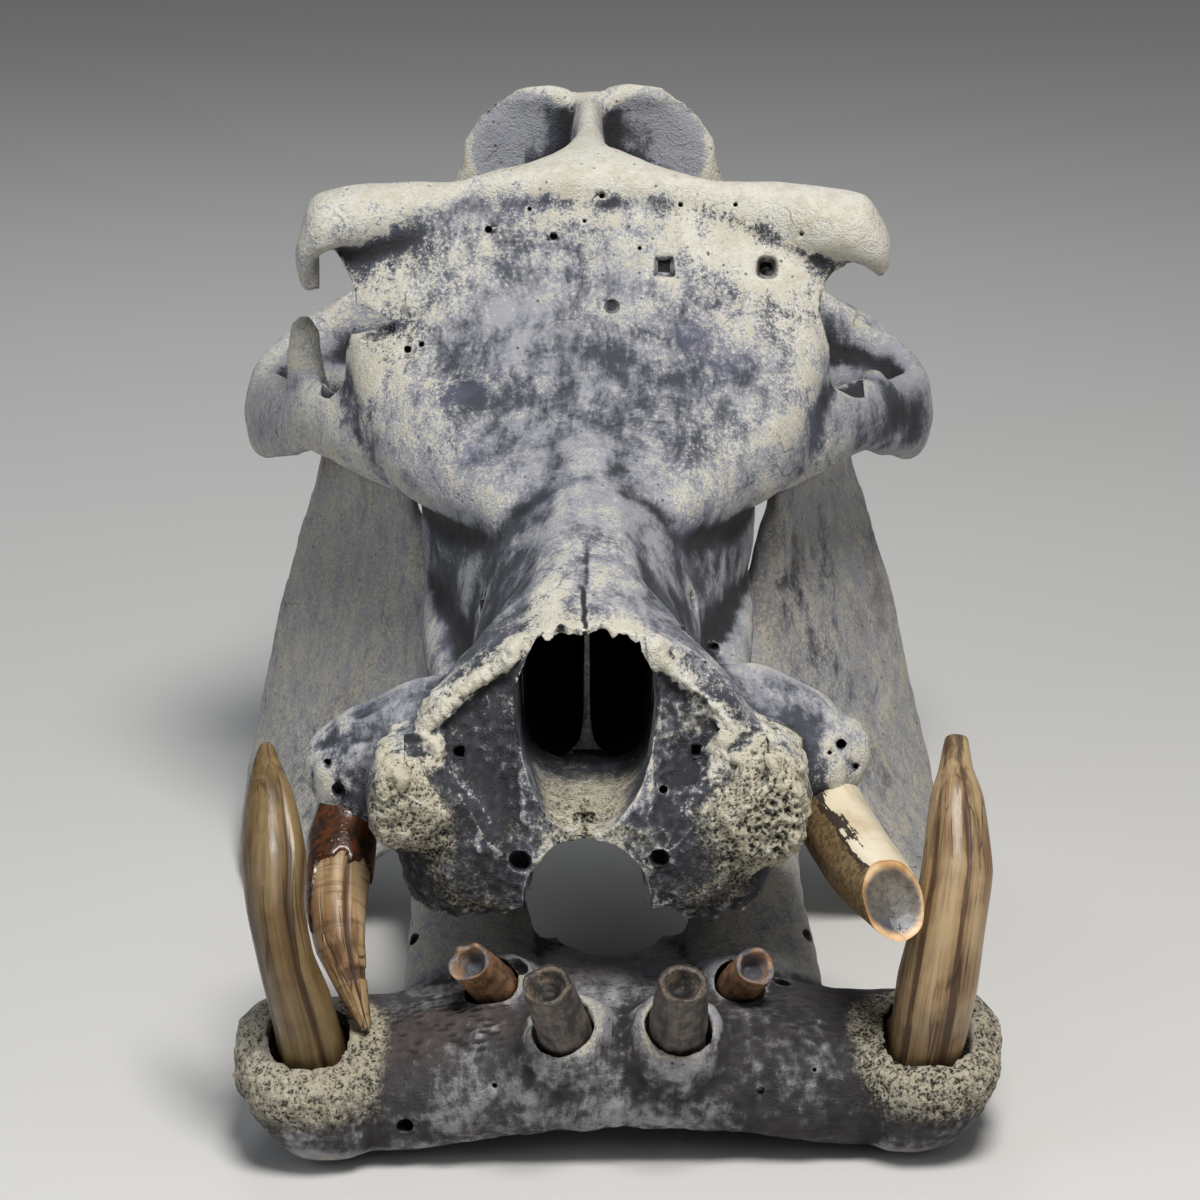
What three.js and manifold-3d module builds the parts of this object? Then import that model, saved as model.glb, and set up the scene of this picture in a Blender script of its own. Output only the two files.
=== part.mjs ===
// A life-size fossil hippopotamus skull: the cranium rests on its lower jaw, with four canine tusks and four
// broken lower incisors. Millimetres, +Z up, nose towards -Y. The jaw stands on z = 0. The cranium is drawn in
// a frame of its own, with its palate level, and is then pitched nose down on the jaw.
import * as THREE from "three";
import { mergeVertices } from "three/addons/utils/BufferGeometryUtils.js";
import Module from "manifold-3d";

const wasm = await Module();
wasm.setup();

// ---- driving dimensions ---------------------------------------------------------------------------------

const CRANIUM_PITCH = THREE.MathUtils.degToRad(8); // the palate falls towards the nose
const CRANIUM_AT = [0, 40, 125]; // the middle of the palate's front edge, on the jaw
const JAW_YAW = THREE.MathUtils.degToRad(1.9); // the jaw was set a little askew under the cranium
const JAW_PIVOT_Y = 560; // the yaw turns about the joint line

const SEAT_GAP = 0.3; // clearance where two bones or a tooth and its socket touch
const SOCKET_FLARE = 4; // how much wider than its tooth a canine socket is at the mouth

const ORBIT_Y = 437; // the eye sockets' centre, along the cranium
const SNOUT_TOP = 138; // the nose bridge above the palate
const BROW_TOP = 246; // the raised rims of the eye sockets above the palate
const CREST_TOP = 250; // the nuchal crest above the palate
const ZYGOMATIC_HALF_WIDTH = 200; // the cheek arches' centreline from the middle
const TOOTH_ROW_X = 68; // the cheek teeth's centreline from the middle
const UPPER_CROWN_Z = -26; // the upper cheek teeth's biting level below the palate
const BITE_SLOPE = Math.tan(CRANIUM_PITCH); // the biting level's rise towards the back, on the jaw
const LOWER_CROWN_Z = 92.3; // the biting level carried forward to y = 0, on the jaw
const CONDYLE = { x: 150, y: 590, z: 262 }; // the jaw joint's centre, in the jaw's frame

const BONE = { color: 0x6f7278, roughness: 0.78, metalness: 0 };
const JAW_BONE = { color: 0x66666a, roughness: 0.75, metalness: 0 };
const IVORY = { color: 0xc9ab80, roughness: 0.45, metalness: 0 };
const STAINED_IVORY = { color: 0x9c5a26, roughness: 0.35, metalness: 0 };
const WORN_IVORY = { color: 0xe6d3ad, roughness: 0.4, metalness: 0 };
const INCISOR = { color: 0x7d5c40, roughness: 0.5, metalness: 0 };

// ---- lofts: a closed skin through oval sections ---------------------------------------------------------

// A section is an oval with centre c and half-axes u and v. n squares its corners, and taper widens it along v.
const section = (c, u, v, n = 2.3, taper = 0) => ({ c, u, v, n, taper });

// An upright section across the length of the skull, at y.
const acrossY = (y, { x = 0, w, top, bottom, n, taper }) =>
  section([x, y, (top + bottom) / 2], [w, 0, 0], [0, 0, (top - bottom) / 2], n, taper);

// An upright section facing sideways, at x.
const acrossX = (x, { y, z, depth, height, n }) => section([x, y, z], [0, depth, 0], [0, 0, height], n);

// A level section at z, from its front end to its back end in plan.
function acrossZ(z, { front, back, thick, n }) {
  const along = [(back[0] - front[0]) / 2, (back[1] - front[1]) / 2];
  const length = Math.hypot(...along);
  const across = [(-along[1] / length) * thick, (along[0] / length) * thick, 0];
  return section([(front[0] + back[0]) / 2, (front[1] + back[1]) / 2, z], [...along, 0], across, n);
}

// Sections square to a path. Each point is [x, y, z, half-width, half-height]; side is the half-width's direction.
function alongPath(points, side = [1, 0, 0]) {
  const at = points.map(([x, y, z]) => new THREE.Vector3(x, y, z));
  return points.map(([x, y, z, width, height], i) => {
    const tangent = at[Math.min(i + 1, at.length - 1)].clone().sub(at[Math.max(i - 1, 0)]).normalize();
    const u = new THREE.Vector3(...side).projectOnPlane(tangent).normalize();
    const v = new THREE.Vector3().crossVectors(tangent, u);
    return section([x, y, z], u.multiplyScalar(width).toArray(), v.multiplyScalar(height).toArray(), 2.1);
  });
}

// The same sections on the other side of the middle plane.
const mirrored = (sections) =>
  sections.map(({ c, u, v, ...shape }) => {
    const flip = ([x, y, z]) => [-x, y, z];
    return { c: flip(c), u: flip(u), v: flip(v), ...shape };
  });

// One section grown outwards by a margin.
function grown(level, margin) {
  const longer = (a) => new THREE.Vector3(...a).setLength(Math.hypot(...a) + margin).toArray();
  return { ...level, u: longer(level.u), v: longer(level.v) };
}

const squared = (value, n) => Math.sign(value) * Math.abs(value) ** (2 / n);

// A closed geometry through the sections, with `sides` corners round it.
function loft(sections, sides) {
  const points = sections.flatMap(({ c, u, v, n, taper }) =>
    Array.from({ length: sides }, (_, k) => {
      const angle = (2 * Math.PI * (k + 0.5)) / sides;
      const up = squared(Math.sin(angle), n);
      const out = squared(Math.cos(angle), n) * (1 + taper * up);
      return c.map((value, axis) => value + u[axis] * out + v[axis] * up);
    }),
  );
  const last = points.length;
  points.push(sections[0].c, sections.at(-1).c);
  const faces = [];
  for (let r = 0; r < sections.length - 1; r++)
    for (let k = 0; k < sides; k++) {
      const [a, b] = [r * sides + k, r * sides + ((k + 1) % sides)];
      faces.push([a, b, a + sides], [b, b + sides, a + sides]);
    }
  for (let k = 0; k < sides; k++) {
    const next = (k + 1) % sides;
    faces.push([last, next, k], [last + 1, last - sides + k, last - sides + next]);
  }
  return facingOut(points, faces);
}

// A geometry from points and faces, turned right side out.
function facingOut(points, faces) {
  const [a, b, c] = [new THREE.Vector3(), new THREE.Vector3(), new THREE.Vector3()];
  const wedge = ([i, j, k]) => a.fromArray(points[i]).dot(b.fromArray(points[j]).cross(c.fromArray(points[k])));
  const volume = faces.reduce((sum, face) => sum + wedge(face), 0);
  const index = faces.flatMap(([i, j, k]) => (volume < 0 ? [i, k, j] : [i, j, k]));
  return new THREE.BufferGeometry()
    .setAttribute("position", new THREE.Float32BufferAttribute(points.flat(), 3))
    .setIndex(index);
}

// ---- joins and cuts -------------------------------------------------------------------------------------

function solid(geometry) {
  const bare = new THREE.BufferGeometry().setAttribute("position", geometry.getAttribute("position").clone());
  bare.setIndex(geometry.index.clone());
  const merged = mergeVertices(bare, 1e-3);
  return new wasm.Manifold(
    new wasm.Mesh({
      numProp: 3,
      vertProperties: merged.getAttribute("position").array,
      triVerts: new Uint32Array(merged.index.array),
    }),
  );
}

const joined = (geometries) => geometries.map(solid).reduce((whole, piece) => whole.add(piece));
const cut = (body, geometries) => geometries.reduce((left, piece) => left.subtract(solid(piece)), body);

function geometryOf(body) {
  const { vertProperties, triVerts } = body.getMesh();
  return new THREE.BufferGeometry()
    .setAttribute("position", new THREE.BufferAttribute(vertProperties, 3))
    .setIndex(new THREE.BufferAttribute(triVerts, 1));
}

function mesh(name, geometry, finish) {
  const made = new THREE.Mesh(geometry, new THREE.MeshStandardMaterial(finish));
  made.name = name;
  return made;
}

// Lofts each listed piece, [sections, corners round it], and its mirror image where it is paired.
const single = (...pieces) => pieces.map(([sections, sides]) => loft(sections, sides));
const paired = (...pieces) =>
  pieces.flatMap(([sections, sides]) => [loft(sections, sides), loft(mirrored(sections), sides)]);

// ---- teeth ----------------------------------------------------------------------------------------------

// The cheek teeth of one side, six blocks in a row that grow longer towards the back.
const CHEEK_TEETH = { first: 178, lengths: [30, 34, 36, 44, 52, 56], gap: 1.5, halfWidths: [13, 16, 19, 22, 24, 24] };

// Their biting level rises towards the back by `slope`.
function cheekTeeth(side, crownZ, rootZ, slope) {
  let y = CHEEK_TEETH.first;
  return CHEEK_TEETH.lengths.map((length, i) => {
    const half = length / 2 - CHEEK_TEETH.gap;
    const width = CHEEK_TEETH.halfWidths[i];
    const middle = y + length / 2;
    y += length;
    const level = (z, share) => {
      const middleOf = [side * TOOTH_ROW_X, middle, z + slope * middle];
      return section(middleOf, [width * share, 0, 0], [0, half * share, half * share * slope], 3);
    };
    return loft([level(rootZ, 0.9), level(crownZ, 1)], 8);
  });
}

// Canines and incisors as paths from root to tip, [x, y, z, half-width, half-depth], in the frame of the bone
// that holds them.
const LOWER_CANINES = {
  lower_canine_left: [[-148, 92, 28, 15, 20], [-156, 62, 42, 16, 22], [-161, 41, 58, 17, 24], [-166, 29, 87, 16, 24],
    [-173, 27, 112, 14.5, 24], [-178, 33, 138, 15, 23], [-179, 46, 162, 17, 21], [-181, 64, 187, 13, 15],
    [-183, 78, 203, 7, 8], [-183, 84, 209, 4, 5]],
  lower_canine_right: [[143, 88, 30, 16, 20], [153, 58, 44, 17, 23], [160, 34, 62, 19, 26], [164, 22, 97, 20.5, 27],
    [169.5, 26, 126, 19, 26], [175, 38, 154, 18.5, 24], [176, 56, 186, 14, 19], [176, 66, 199, 9, 13], [177, 76, 212, 6, 8]],
};
const UPPER_CANINES = {
  upper_canine_left: [[-108, 120, 58, 14, 15], [-121, 97, 37, 16, 17], [-129, 72, 18, 16.5, 17], [-131, 48, 6, 17, 17],
    [-131, 26, -6, 15.5, 16], [-128.5, 8, -18, 13, 14], [-122, -7, -34, 8, 9], [-115, -17, -51, 3, 4]],
  upper_canine_right: [[98, 130, 60, 16, 17], [112, 107, 46, 18, 18], [125, 82, 32, 19, 19], [134, 56, 26, 19.5, 19.5],
    [142, 28, 24, 19.5, 19.5], [149.5, 2, 25, 18.5, 19], [156, -22, 28, 15.5, 18]],
};
const LOWER_INCISORS = {
  lower_incisor_1_left: [[-19, 46, 38, 12, 12], [-29, 13, 76, 14, 14], [-39, -19, 114, 12.5, 12.5]],
  lower_incisor_1_right: [[28, 44, 38, 13, 13], [29, 12, 76, 15, 15], [30, -19, 114, 12.5, 12.5]],
  lower_incisor_2_left: [[-50, 98, 54, 10, 10], [-61, 70, 78, 12, 12], [-72, 44, 99, 11, 11]],
  lower_incisor_2_right: [[56, 98, 56, 10, 10], [61, 70, 79, 11, 11], [66, 44, 99, 10.5, 10.5]],
};

// A tooth's socket is the tooth's own shape with a small gap, opened out from its floor to its mouth at section `mouth`.
function socket(path, mouth, flare) {
  const levels = alongPath(path).map((level, i) => grown(level, SEAT_GAP + flare * Math.min(i / mouth, 1)));
  const [floor, next] = levels.map(({ c }) => new THREE.Vector3(...c));
  const deeper = floor.clone().sub(next).setLength(SEAT_GAP).add(floor);
  return [{ ...levels[0], c: deeper.toArray() }, ...levels.slice(1)];
}
const tooth = (name, path, finish) => mesh(name, loft(alongPath(path), 10), finish);

// ---- cranium --------------------------------------------------------------------------------------------

// The snout, face and braincase, from the nose tip to the occiput.
const skullCore = [
  acrossY(8, { w: 72, top: 50, bottom: 2, taper: -0.1 }),
  acrossY(36, { w: 84, top: 112, bottom: -4, taper: -0.46 }),
  acrossY(66, { w: 84, top: SNOUT_TOP, bottom: -5, taper: -0.5, n: 2.2 }),
  acrossY(110, { w: 72, top: SNOUT_TOP + 1, bottom: -6, taper: -0.4, n: 2.3 }),
  acrossY(150, { w: 61, top: SNOUT_TOP + 1, bottom: -8, taper: -0.22, n: 2.5 }),
  acrossY(195, { w: 58, top: SNOUT_TOP + 2, bottom: -8, taper: -0.1, n: 2.5 }),
  acrossY(250, { w: 65, top: SNOUT_TOP + 2, bottom: -8, taper: -0.05, n: 2.6 }),
  acrossY(310, { w: 80, top: 146, bottom: -8, taper: -0.02, n: 2.8 }),
  acrossY(370, { w: 90, top: 166, bottom: -8, taper: 0, n: 2.8 }),
  acrossY(420, { w: 96, top: 188, bottom: -6, taper: -0.04, n: 2.8 }),
  acrossY(455, { w: 80, top: 200, bottom: 8, taper: -0.08, n: 2.5 }),
  acrossY(490, { w: 54, top: 202, bottom: 30, taper: -0.04 }),
  acrossY(590, { w: 72, top: 204, bottom: 42, taper: -0.2 }),
  acrossY(630, { w: 84, top: 190, bottom: 46, taper: -0.2 }),
];

// The frontal shield: the wide forehead and cheeks in front of the eye sockets.
const frontalShield = [
  acrossY(262, { w: 56, top: 138, bottom: 86 }),
  acrossY(305, { w: 74, top: 148, bottom: 80, n: 2.6, taper: 0.02 }),
  acrossY(340, { w: 98, top: 162, bottom: 77, n: 2.9 }),
  acrossY(372, { w: 124, top: 180, bottom: 75, n: 3.2 }),
  acrossY(400, { w: 141, top: 202, bottom: 78, n: 3.4 }),
  acrossY(424, { w: 148, top: 226, bottom: 92, n: 3.6 }),
  acrossY(446, { w: 152, top: BROW_TOP, bottom: 120, n: 3.6 }),
  acrossY(462, { w: 126, top: BROW_TOP - 1, bottom: 150, n: 3 }),
  acrossY(482, { w: 76, top: BROW_TOP - 6, bottom: 160 }),
  acrossY(512, { w: 26, top: BROW_TOP - 10, bottom: 170 }),
];

// The wings of the brow, which curl down over the eye sockets to thin broken tips.
const browTip = alongPath(
  [[60, 449, 222, 14, 24], [104, 446, 226, 17, 20], [134, 439, 230, 22, 15], [154, 434, 228, 25, 11],
    [166, 433, 213, 20, 6], [169, 436, 196, 12, 4], [169, 438, 189, 7, 3]],
  [0, 1, 0]);

// The sagittal crest, and the nuchal crest that fans out behind it.
const sagittalCrest = [
  acrossY(490, { w: 22, top: 238, bottom: 170, taper: -0.5 }),
  acrossY(530, { w: 16, top: 234, bottom: 170, taper: -0.4 }),
  acrossY(575, { w: 15, top: 238, bottom: 170, taper: -0.35 }),
  acrossY(612, { w: 22, top: CREST_TOP - 4, bottom: 170, taper: -0.2 }),
  acrossY(632, { w: 26, top: CREST_TOP - 6, bottom: 160, taper: -0.1 }),
];
const fan = (z, half, y, thick) => acrossZ(z, { front: [-half, y], back: [half, y], thick, n: 2.6 });
const nuchalCrest = [
  fan(34, 70, 632, 14), fan(62, 124, 630, 18), fan(100, 138, 628, 20), fan(140, 118, 626, 16), fan(172, 93, 624, 12),
  fan(196, 81, 622, 9), fan(216, 77, 621, 7), fan(232, 65, 620, 6), fan(243, 51, 620, 5), fan(CREST_TOP, 31, 620, 3.5),
];

// The cheek arch, its back root, and what is left of the bars that once closed the eye sockets behind.
const cheekArch = alongPath(
  [[104, 368, 112, 20, 26], [134, 400, 112, 16, 26], [163, 446, 106, 13, 22], [184, 492, 88, 12, 25],
    [ZYGOMATIC_HALF_WIDTH, 535, 76, 11, 31], [194, 566, 84, 13, 25], [168, 588, 96, 16, 20], [126, 602, 108, 22, 26],
    [84, 604, 118, 22, 34]]);
const archRoot = alongPath(
  [[70, 606, 166, 9, 28], [108, 596, 124, 8, 36], [148, 580, 104, 8, 30], [182, 560, 88, 8, 20], [200, 540, 72, 8, 14]],
  [0, 1, 0]);
const postorbitalBar = alongPath(
  [[178, 486, 80, 15, 9], [174, 482, 105, 12, 8], [171, 476, 132, 9, 7], [169, 471, 148, 6, 6], [169, 470, 156, 3, 3]],
  [0, 1, 0]);
const postorbitalStub = alongPath(
  [[178, 486, 80, 15, 9], [174, 482, 100, 13, 9], [171, 478, 114, 8, 6], [170, 476, 119, 3, 3]],
  [0, 1, 0]);

// The premaxillae, broken short in front, and the flared processes that hold the upper canines.
const premaxilla = [
  acrossY(4, { x: 71, w: 27, top: 48, bottom: -2, taper: 0.1, n: 2.6 }),
  acrossY(20, { x: 74, w: 40, top: 65, bottom: -13, taper: 0.15, n: 2.8 }),
  acrossY(50, { x: 74, w: 41, top: 80, bottom: -13, taper: 0.12, n: 2.8 }),
  acrossY(82, { x: 68, w: 34, top: 84, bottom: -6, n: 2.6 }),
];
const canineProcess = (lift) => alongPath(
  [[50, 114, 56, 36, 34], [84, 108, 50 + lift, 40, 36], [110, 98, 44 + lift, 40, 32], [130, 91, 40 + lift, 33, 26],
    [143, 87, 39 + lift, 22, 18], [148, 85, 39 + lift, 9, 9]],
  [0, 1, 0]);

// Underneath: the keel of the braincase, the joint shelf, condyles, the hanging processes and the tooth ridges.
const braincaseKeel = [
  acrossY(420, { w: 46, top: 60, bottom: -4 }),
  acrossY(455, { w: 40, top: 70, bottom: 6 }),
  acrossY(500, { w: 34, top: 80, bottom: 32 }),
  acrossY(560, { w: 38, top: 90, bottom: 44 }),
  acrossY(620, { w: 46, top: 100, bottom: 48 }),
  acrossY(650, { w: 36, top: 96, bottom: 58 }),
];
const jointShelf = alongPath(
  [[60, 580, 86, 32, 16], [100, 578, 82, 30, 13], [150, 574, 81, 26, 12], [188, 568, 82, 22, 12]], [0, 1, 0]);
const occipitalCondyle = alongPath(
  [[24, 634, 84, 22, 22], [32, 650, 84, 22, 24], [38, 664, 84, 14, 17], [40, 671, 84, 5, 6]]);
const pterygoid = [
  acrossZ(60, { front: [38, 430], back: [38, 520], thick: 8 }),
  acrossZ(20, { front: [42, 440], back: [42, 500], thick: 6 }),
  acrossZ(-6, { front: [44, 452], back: [46, 484], thick: 4.5 }),
];
const paroccipital = [
  acrossZ(80, { front: [96, 612], back: [98, 642], thick: 24 }),
  acrossZ(40, { front: [98, 618], back: [99, 640], thick: 14 }),
  acrossZ(6, { front: [100, 622], back: [100, 636], thick: 7 }),
];
const alveolarRidge = [
  acrossY(168, { x: 58, w: 14, top: 30, bottom: -6 }),
  acrossY(230, { x: 64, w: 22, top: 40, bottom: -12, n: 2.8 }),
  acrossY(320, { x: 68, w: 28, top: 40, bottom: -13, n: 2.8 }),
  acrossY(420, { x: 68, w: 28, top: 40, bottom: -12, n: 2.8 }),
  acrossY(446, { x: 66, w: 18, top: 34, bottom: 0 }),
];
const upperTeeth = [-1, 1].flatMap((side) => cheekTeeth(side, UPPER_CROWN_Z, 20, 0));

// What is open: the nose, the notch between the premaxillae, the palate's vault, the foramen magnum and the
// eye sockets.
const noseHole = [
  acrossY(-30, { w: 70, top: 150, bottom: 46, n: 2.8 }),
  acrossY(20, { w: 46, top: 144, bottom: 48, n: 3 }),
  acrossY(60, { w: 37, top: 132, bottom: 46, n: 3.4 }),
  acrossY(140, { w: 37, top: 130, bottom: 34, n: 3.2 }),
  acrossY(240, { w: 34, top: 124, bottom: 30, n: 2.6 }),
  acrossY(320, { w: 26, top: 108, bottom: 36 }),
];
const premaxillaNotch = [
  acrossY(-20, { w: 34, top: 40, bottom: -40 }),
  acrossY(24, { w: 33, top: 40, bottom: -40, n: 2.6 }),
  acrossY(64, { w: 31, top: 30, bottom: -40 }),
  acrossY(110, { w: 26, top: 14, bottom: -40 }),
  acrossY(160, { w: 16, top: -2, bottom: -40 }),
];
const eyeSocket = [
  acrossX(78, { y: ORBIT_Y + 4, z: 168, depth: 16, height: 18 }),
  acrossX(104, { y: ORBIT_Y + 2, z: 170, depth: 30, height: 36 }),
  acrossX(140, { y: ORBIT_Y, z: 168, depth: 34, height: 47 }),
  acrossX(180, { y: ORBIT_Y, z: 166, depth: 38, height: 50 }),
];
const palateVault = [
  acrossY(120, { w: 20, top: 2, bottom: -30 }),
  acrossY(180, { w: 34, top: 10, bottom: -40 }),
  acrossY(300, { w: 40, top: 16, bottom: -40 }),
  acrossY(425, { w: 40, top: 18, bottom: -40 }),
  acrossY(470, { w: 34, top: 30, bottom: -40 }),
];
const foramenMagnum = [
  acrossY(560, { w: 12, top: 108, bottom: 84 }),
  acrossY(640, { w: 19, top: 114, bottom: 78 }),
  acrossY(700, { w: 24, top: 120, bottom: 74 }),
];

const craniumBone = joined([
  ...single([skullCore, 16], [frontalShield, 14], [sagittalCrest, 8], [nuchalCrest, 14], [braincaseKeel, 10]),
  ...paired([browTip, 10], [cheekArch, 10], [archRoot, 8], [premaxilla, 10]),
  ...paired([jointShelf, 8], [occipitalCondyle, 10], [pterygoid, 8], [paroccipital, 8], [alveolarRidge, 10]),
  loft(mirrored(canineProcess(0)), 10),
  loft(canineProcess(9), 10),
  loft(mirrored(postorbitalBar), 8),
  loft(postorbitalStub, 8),
]);
const craniumOpen = cut(craniumBone, [
  ...single([noseHole, 12], [premaxillaNotch, 10], [palateVault, 8], [foramenMagnum, 10]),
  ...paired([eyeSocket, 12]),
]).add(joined(upperTeeth));

// ---- lower jaw ------------------------------------------------------------------------------------------

// The front bar: the symphysis, with a lobe under each canine's root that the jaw stands on.
const frontBar = [
  acrossX(-201, { y: 64, z: 46, depth: 22, height: 16 }),
  acrossX(-186, { y: 62, z: 42, depth: 44, height: 32 }),
  acrossX(-158, { y: 63, z: 35, depth: 55, height: 36.5, n: 2.1 }),
  acrossX(-120, { y: 64, z: 35, depth: 59, height: 36.5, n: 2.2 }),
  acrossX(-70, { y: 66, z: 43, depth: 62, height: 34, n: 2.8 }),
  acrossX(0, { y: 68, z: 47, depth: 64, height: 31, n: 3.4 }),
  acrossX(70, { y: 66, z: 43, depth: 62, height: 34, n: 2.8 }),
  acrossX(120, { y: 64, z: 35, depth: 59, height: 36.5, n: 2.2 }),
  acrossX(158, { y: 63, z: 35, depth: 55, height: 36.5, n: 2.1 }),
  acrossX(186, { y: 62, z: 42, depth: 44, height: 32 }),
  acrossX(201, { y: 64, z: 46, depth: 22, height: 16 }),
];
const symphysis = [
  acrossY(70, { w: 112, top: 76, bottom: 10, n: 2.8 }),
  acrossY(110, { w: 112, top: 73, bottom: 14, n: 2.8 }),
  acrossY(150, { w: 110, top: 67, bottom: 18, n: 2.8 }),
  acrossY(196, { w: 104, top: 62, bottom: 24, n: 2.8 }),
];

// One side's level body, which carries the cheek teeth, and its upright ramus, which flares out to the angle.
const jawBody = [
  acrossY(100, { x: 74, w: 40, top: 72, bottom: 14, n: 2.8 }),
  acrossY(150, { x: 76, w: 38, top: 80, bottom: 18, n: 2.8 }),
  acrossY(200, { x: 77, w: 33, top: 98, bottom: 22, n: 2.8 }),
  acrossY(270, { x: 79, w: 31, top: 110, bottom: 26, n: 2.8 }),
  acrossY(340, { x: 84, w: 32, top: 120, bottom: 30, n: 2.8 }),
  acrossY(410, { x: 92, w: 30, top: 130, bottom: 36, n: 2.6 }),
  acrossY(455, { x: 104, w: 24, top: 134, bottom: 50 }),
  acrossY(495, { x: 124, w: 9, top: 122, bottom: 76 }),
];
const ramus = [
  acrossZ(-3, { front: [198, 398], back: [207, 460], thick: 7 }),
  acrossZ(12, { front: [186, 380], back: [211, 505], thick: 13 }),
  acrossZ(38, { front: [150, 358], back: [210, 545], thick: 16 }),
  acrossZ(72, { front: [110, 344], back: [204, 570], thick: 17 }),
  acrossZ(112, { front: [100, 366], back: [196, 584], thick: 16 }),
  acrossZ(152, { front: [102.5, 398], back: [187, 592], thick: 14 }),
  acrossZ(192, { front: [105, 424], back: [175, 596], thick: 12 }),
  acrossZ(226, { front: [108, 444], back: [165, 602], thick: 11 }),
  acrossZ(246, { front: [116, 466], back: [160, 606], thick: 11 }),
];
const jawCondyle = [
  acrossX(CONDYLE.x - 40, { y: CONDYLE.y, z: CONDYLE.z, depth: 9, height: 8 }),
  acrossX(CONDYLE.x - 24, { y: CONDYLE.y, z: CONDYLE.z - 1, depth: 17, height: 15 }),
  acrossX(CONDYLE.x + 18, { y: CONDYLE.y, z: CONDYLE.z - 2, depth: 18, height: 16 }),
  acrossX(CONDYLE.x + 40, { y: CONDYLE.y, z: CONDYLE.z - 4, depth: 9, height: 9 }),
];
const coronoid = [
  acrossZ(200, { front: [105, 434], back: [126, 520], thick: 9 }),
  acrossZ(246, { front: [109, 452], back: [124, 514], thick: 8 }),
  acrossZ(284, { front: [112, 474], back: [122, 516], thick: 7 }),
  acrossZ(312, { front: [114, 498], back: [120, 528], thick: 5 }),
];
const jawGap = [
  acrossZ(-20, { front: [0, 162], back: [0, 460], thick: 35, n: 2.4 }),
  acrossZ(40, { front: [0, 157], back: [0, 470], thick: 36, n: 2.4 }),
  acrossZ(75, { front: [0, 144], back: [0, 480], thick: 40, n: 2.4 }),
  acrossZ(150, { front: [0, 128], back: [0, 500], thick: 46, n: 2.4 }),
];
const lowerTeeth = [-1, 1].flatMap((side) => cheekTeeth(side, LOWER_CROWN_Z, 48, BITE_SLOPE));

const ground = new THREE.BoxGeometry(600, 900, 40).translate(0, 300, -20);
const jawBone = joined([
  ...single([frontBar, 14], [symphysis, 10]),
  ...paired([jawBody, 10], [ramus, 14], [jawCondyle, 10], [coronoid, 8]),
]);

// ---- the skull ------------------------------------------------------------------------------------------

const canineSockets = (paths, mouth) => Object.values(paths).map((path) => loft(socket(path, mouth, SOCKET_FLARE), 10));
const incisorSockets = Object.values(LOWER_INCISORS).map((path) => loft(socket(path, 1, 1), 10));

const craniumGroup = new THREE.Group();
craniumGroup.position.set(...CRANIUM_AT);
craniumGroup.rotation.x = CRANIUM_PITCH;
craniumGroup.updateMatrixWorld();

const jawGroup = new THREE.Group();
const jawTurn = new THREE.Group();
jawGroup.position.y = JAW_PIVOT_Y;
jawGroup.rotation.z = JAW_YAW;
jawTurn.position.y = -JAW_PIVOT_Y;
jawGroup.add(jawTurn);
jawGroup.updateMatrixWorld(true);

// The hollow each jaw condyle sits in: the condyle's own shape, a clearance wider all round, in the cranium's frame.
const jawIntoCranium = craniumGroup.matrixWorld.clone().invert().multiply(jawTurn.matrixWorld);
const roomy = jawCondyle.map((level, i) => {
  const [x, y, z] = level.c;
  return { ...grown(level, 1.5 * SEAT_GAP), c: [x + (i < 2 ? -1 : 1), y, z] };
});
const glenoids = paired([roomy, 10]).map((geometry) => geometry.applyMatrix4(jawIntoCranium));

const cranium = cut(craniumOpen, [...canineSockets(UPPER_CANINES, 2), ...glenoids]);
craniumGroup.add(mesh("cranium", geometryOf(cranium), BONE));
craniumGroup.add(tooth("upper_canine_left", UPPER_CANINES.upper_canine_left, STAINED_IVORY));
craniumGroup.add(tooth("upper_canine_right", UPPER_CANINES.upper_canine_right, WORN_IVORY));

const lowerJaw = cut(jawBone, [...single([jawGap, 14]), ...canineSockets(LOWER_CANINES, 2), ...incisorSockets, ground])
  .add(joined(lowerTeeth));
jawTurn.add(mesh("lower_jaw", geometryOf(lowerJaw), JAW_BONE));
for (const [name, path] of Object.entries(LOWER_CANINES)) jawTurn.add(tooth(name, path, IVORY));
for (const [name, path] of Object.entries(LOWER_INCISORS)) jawTurn.add(tooth(name, path, INCISOR));

// The origin is under the middle of the skull, on the ground.
const skull = new THREE.Group();
skull.add(craniumGroup, jawGroup);
const extent = new THREE.Box3().setFromObject(skull, true);
const middle = extent.getCenter(new THREE.Vector3());
skull.position.set(-middle.x, -middle.y, -extent.min.z);

export default skull;
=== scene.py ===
# A life-size fossil hippopotamus skull: the cranium rests on its lower jaw, nose towards -Y, on pale floor.
# Bones are drawn in millimetres, each in its own level frame, and are then set in place in metres.
import bmesh
import bpy
import math
import numpy as np
from mathutils import Matrix, Vector, noise


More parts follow.
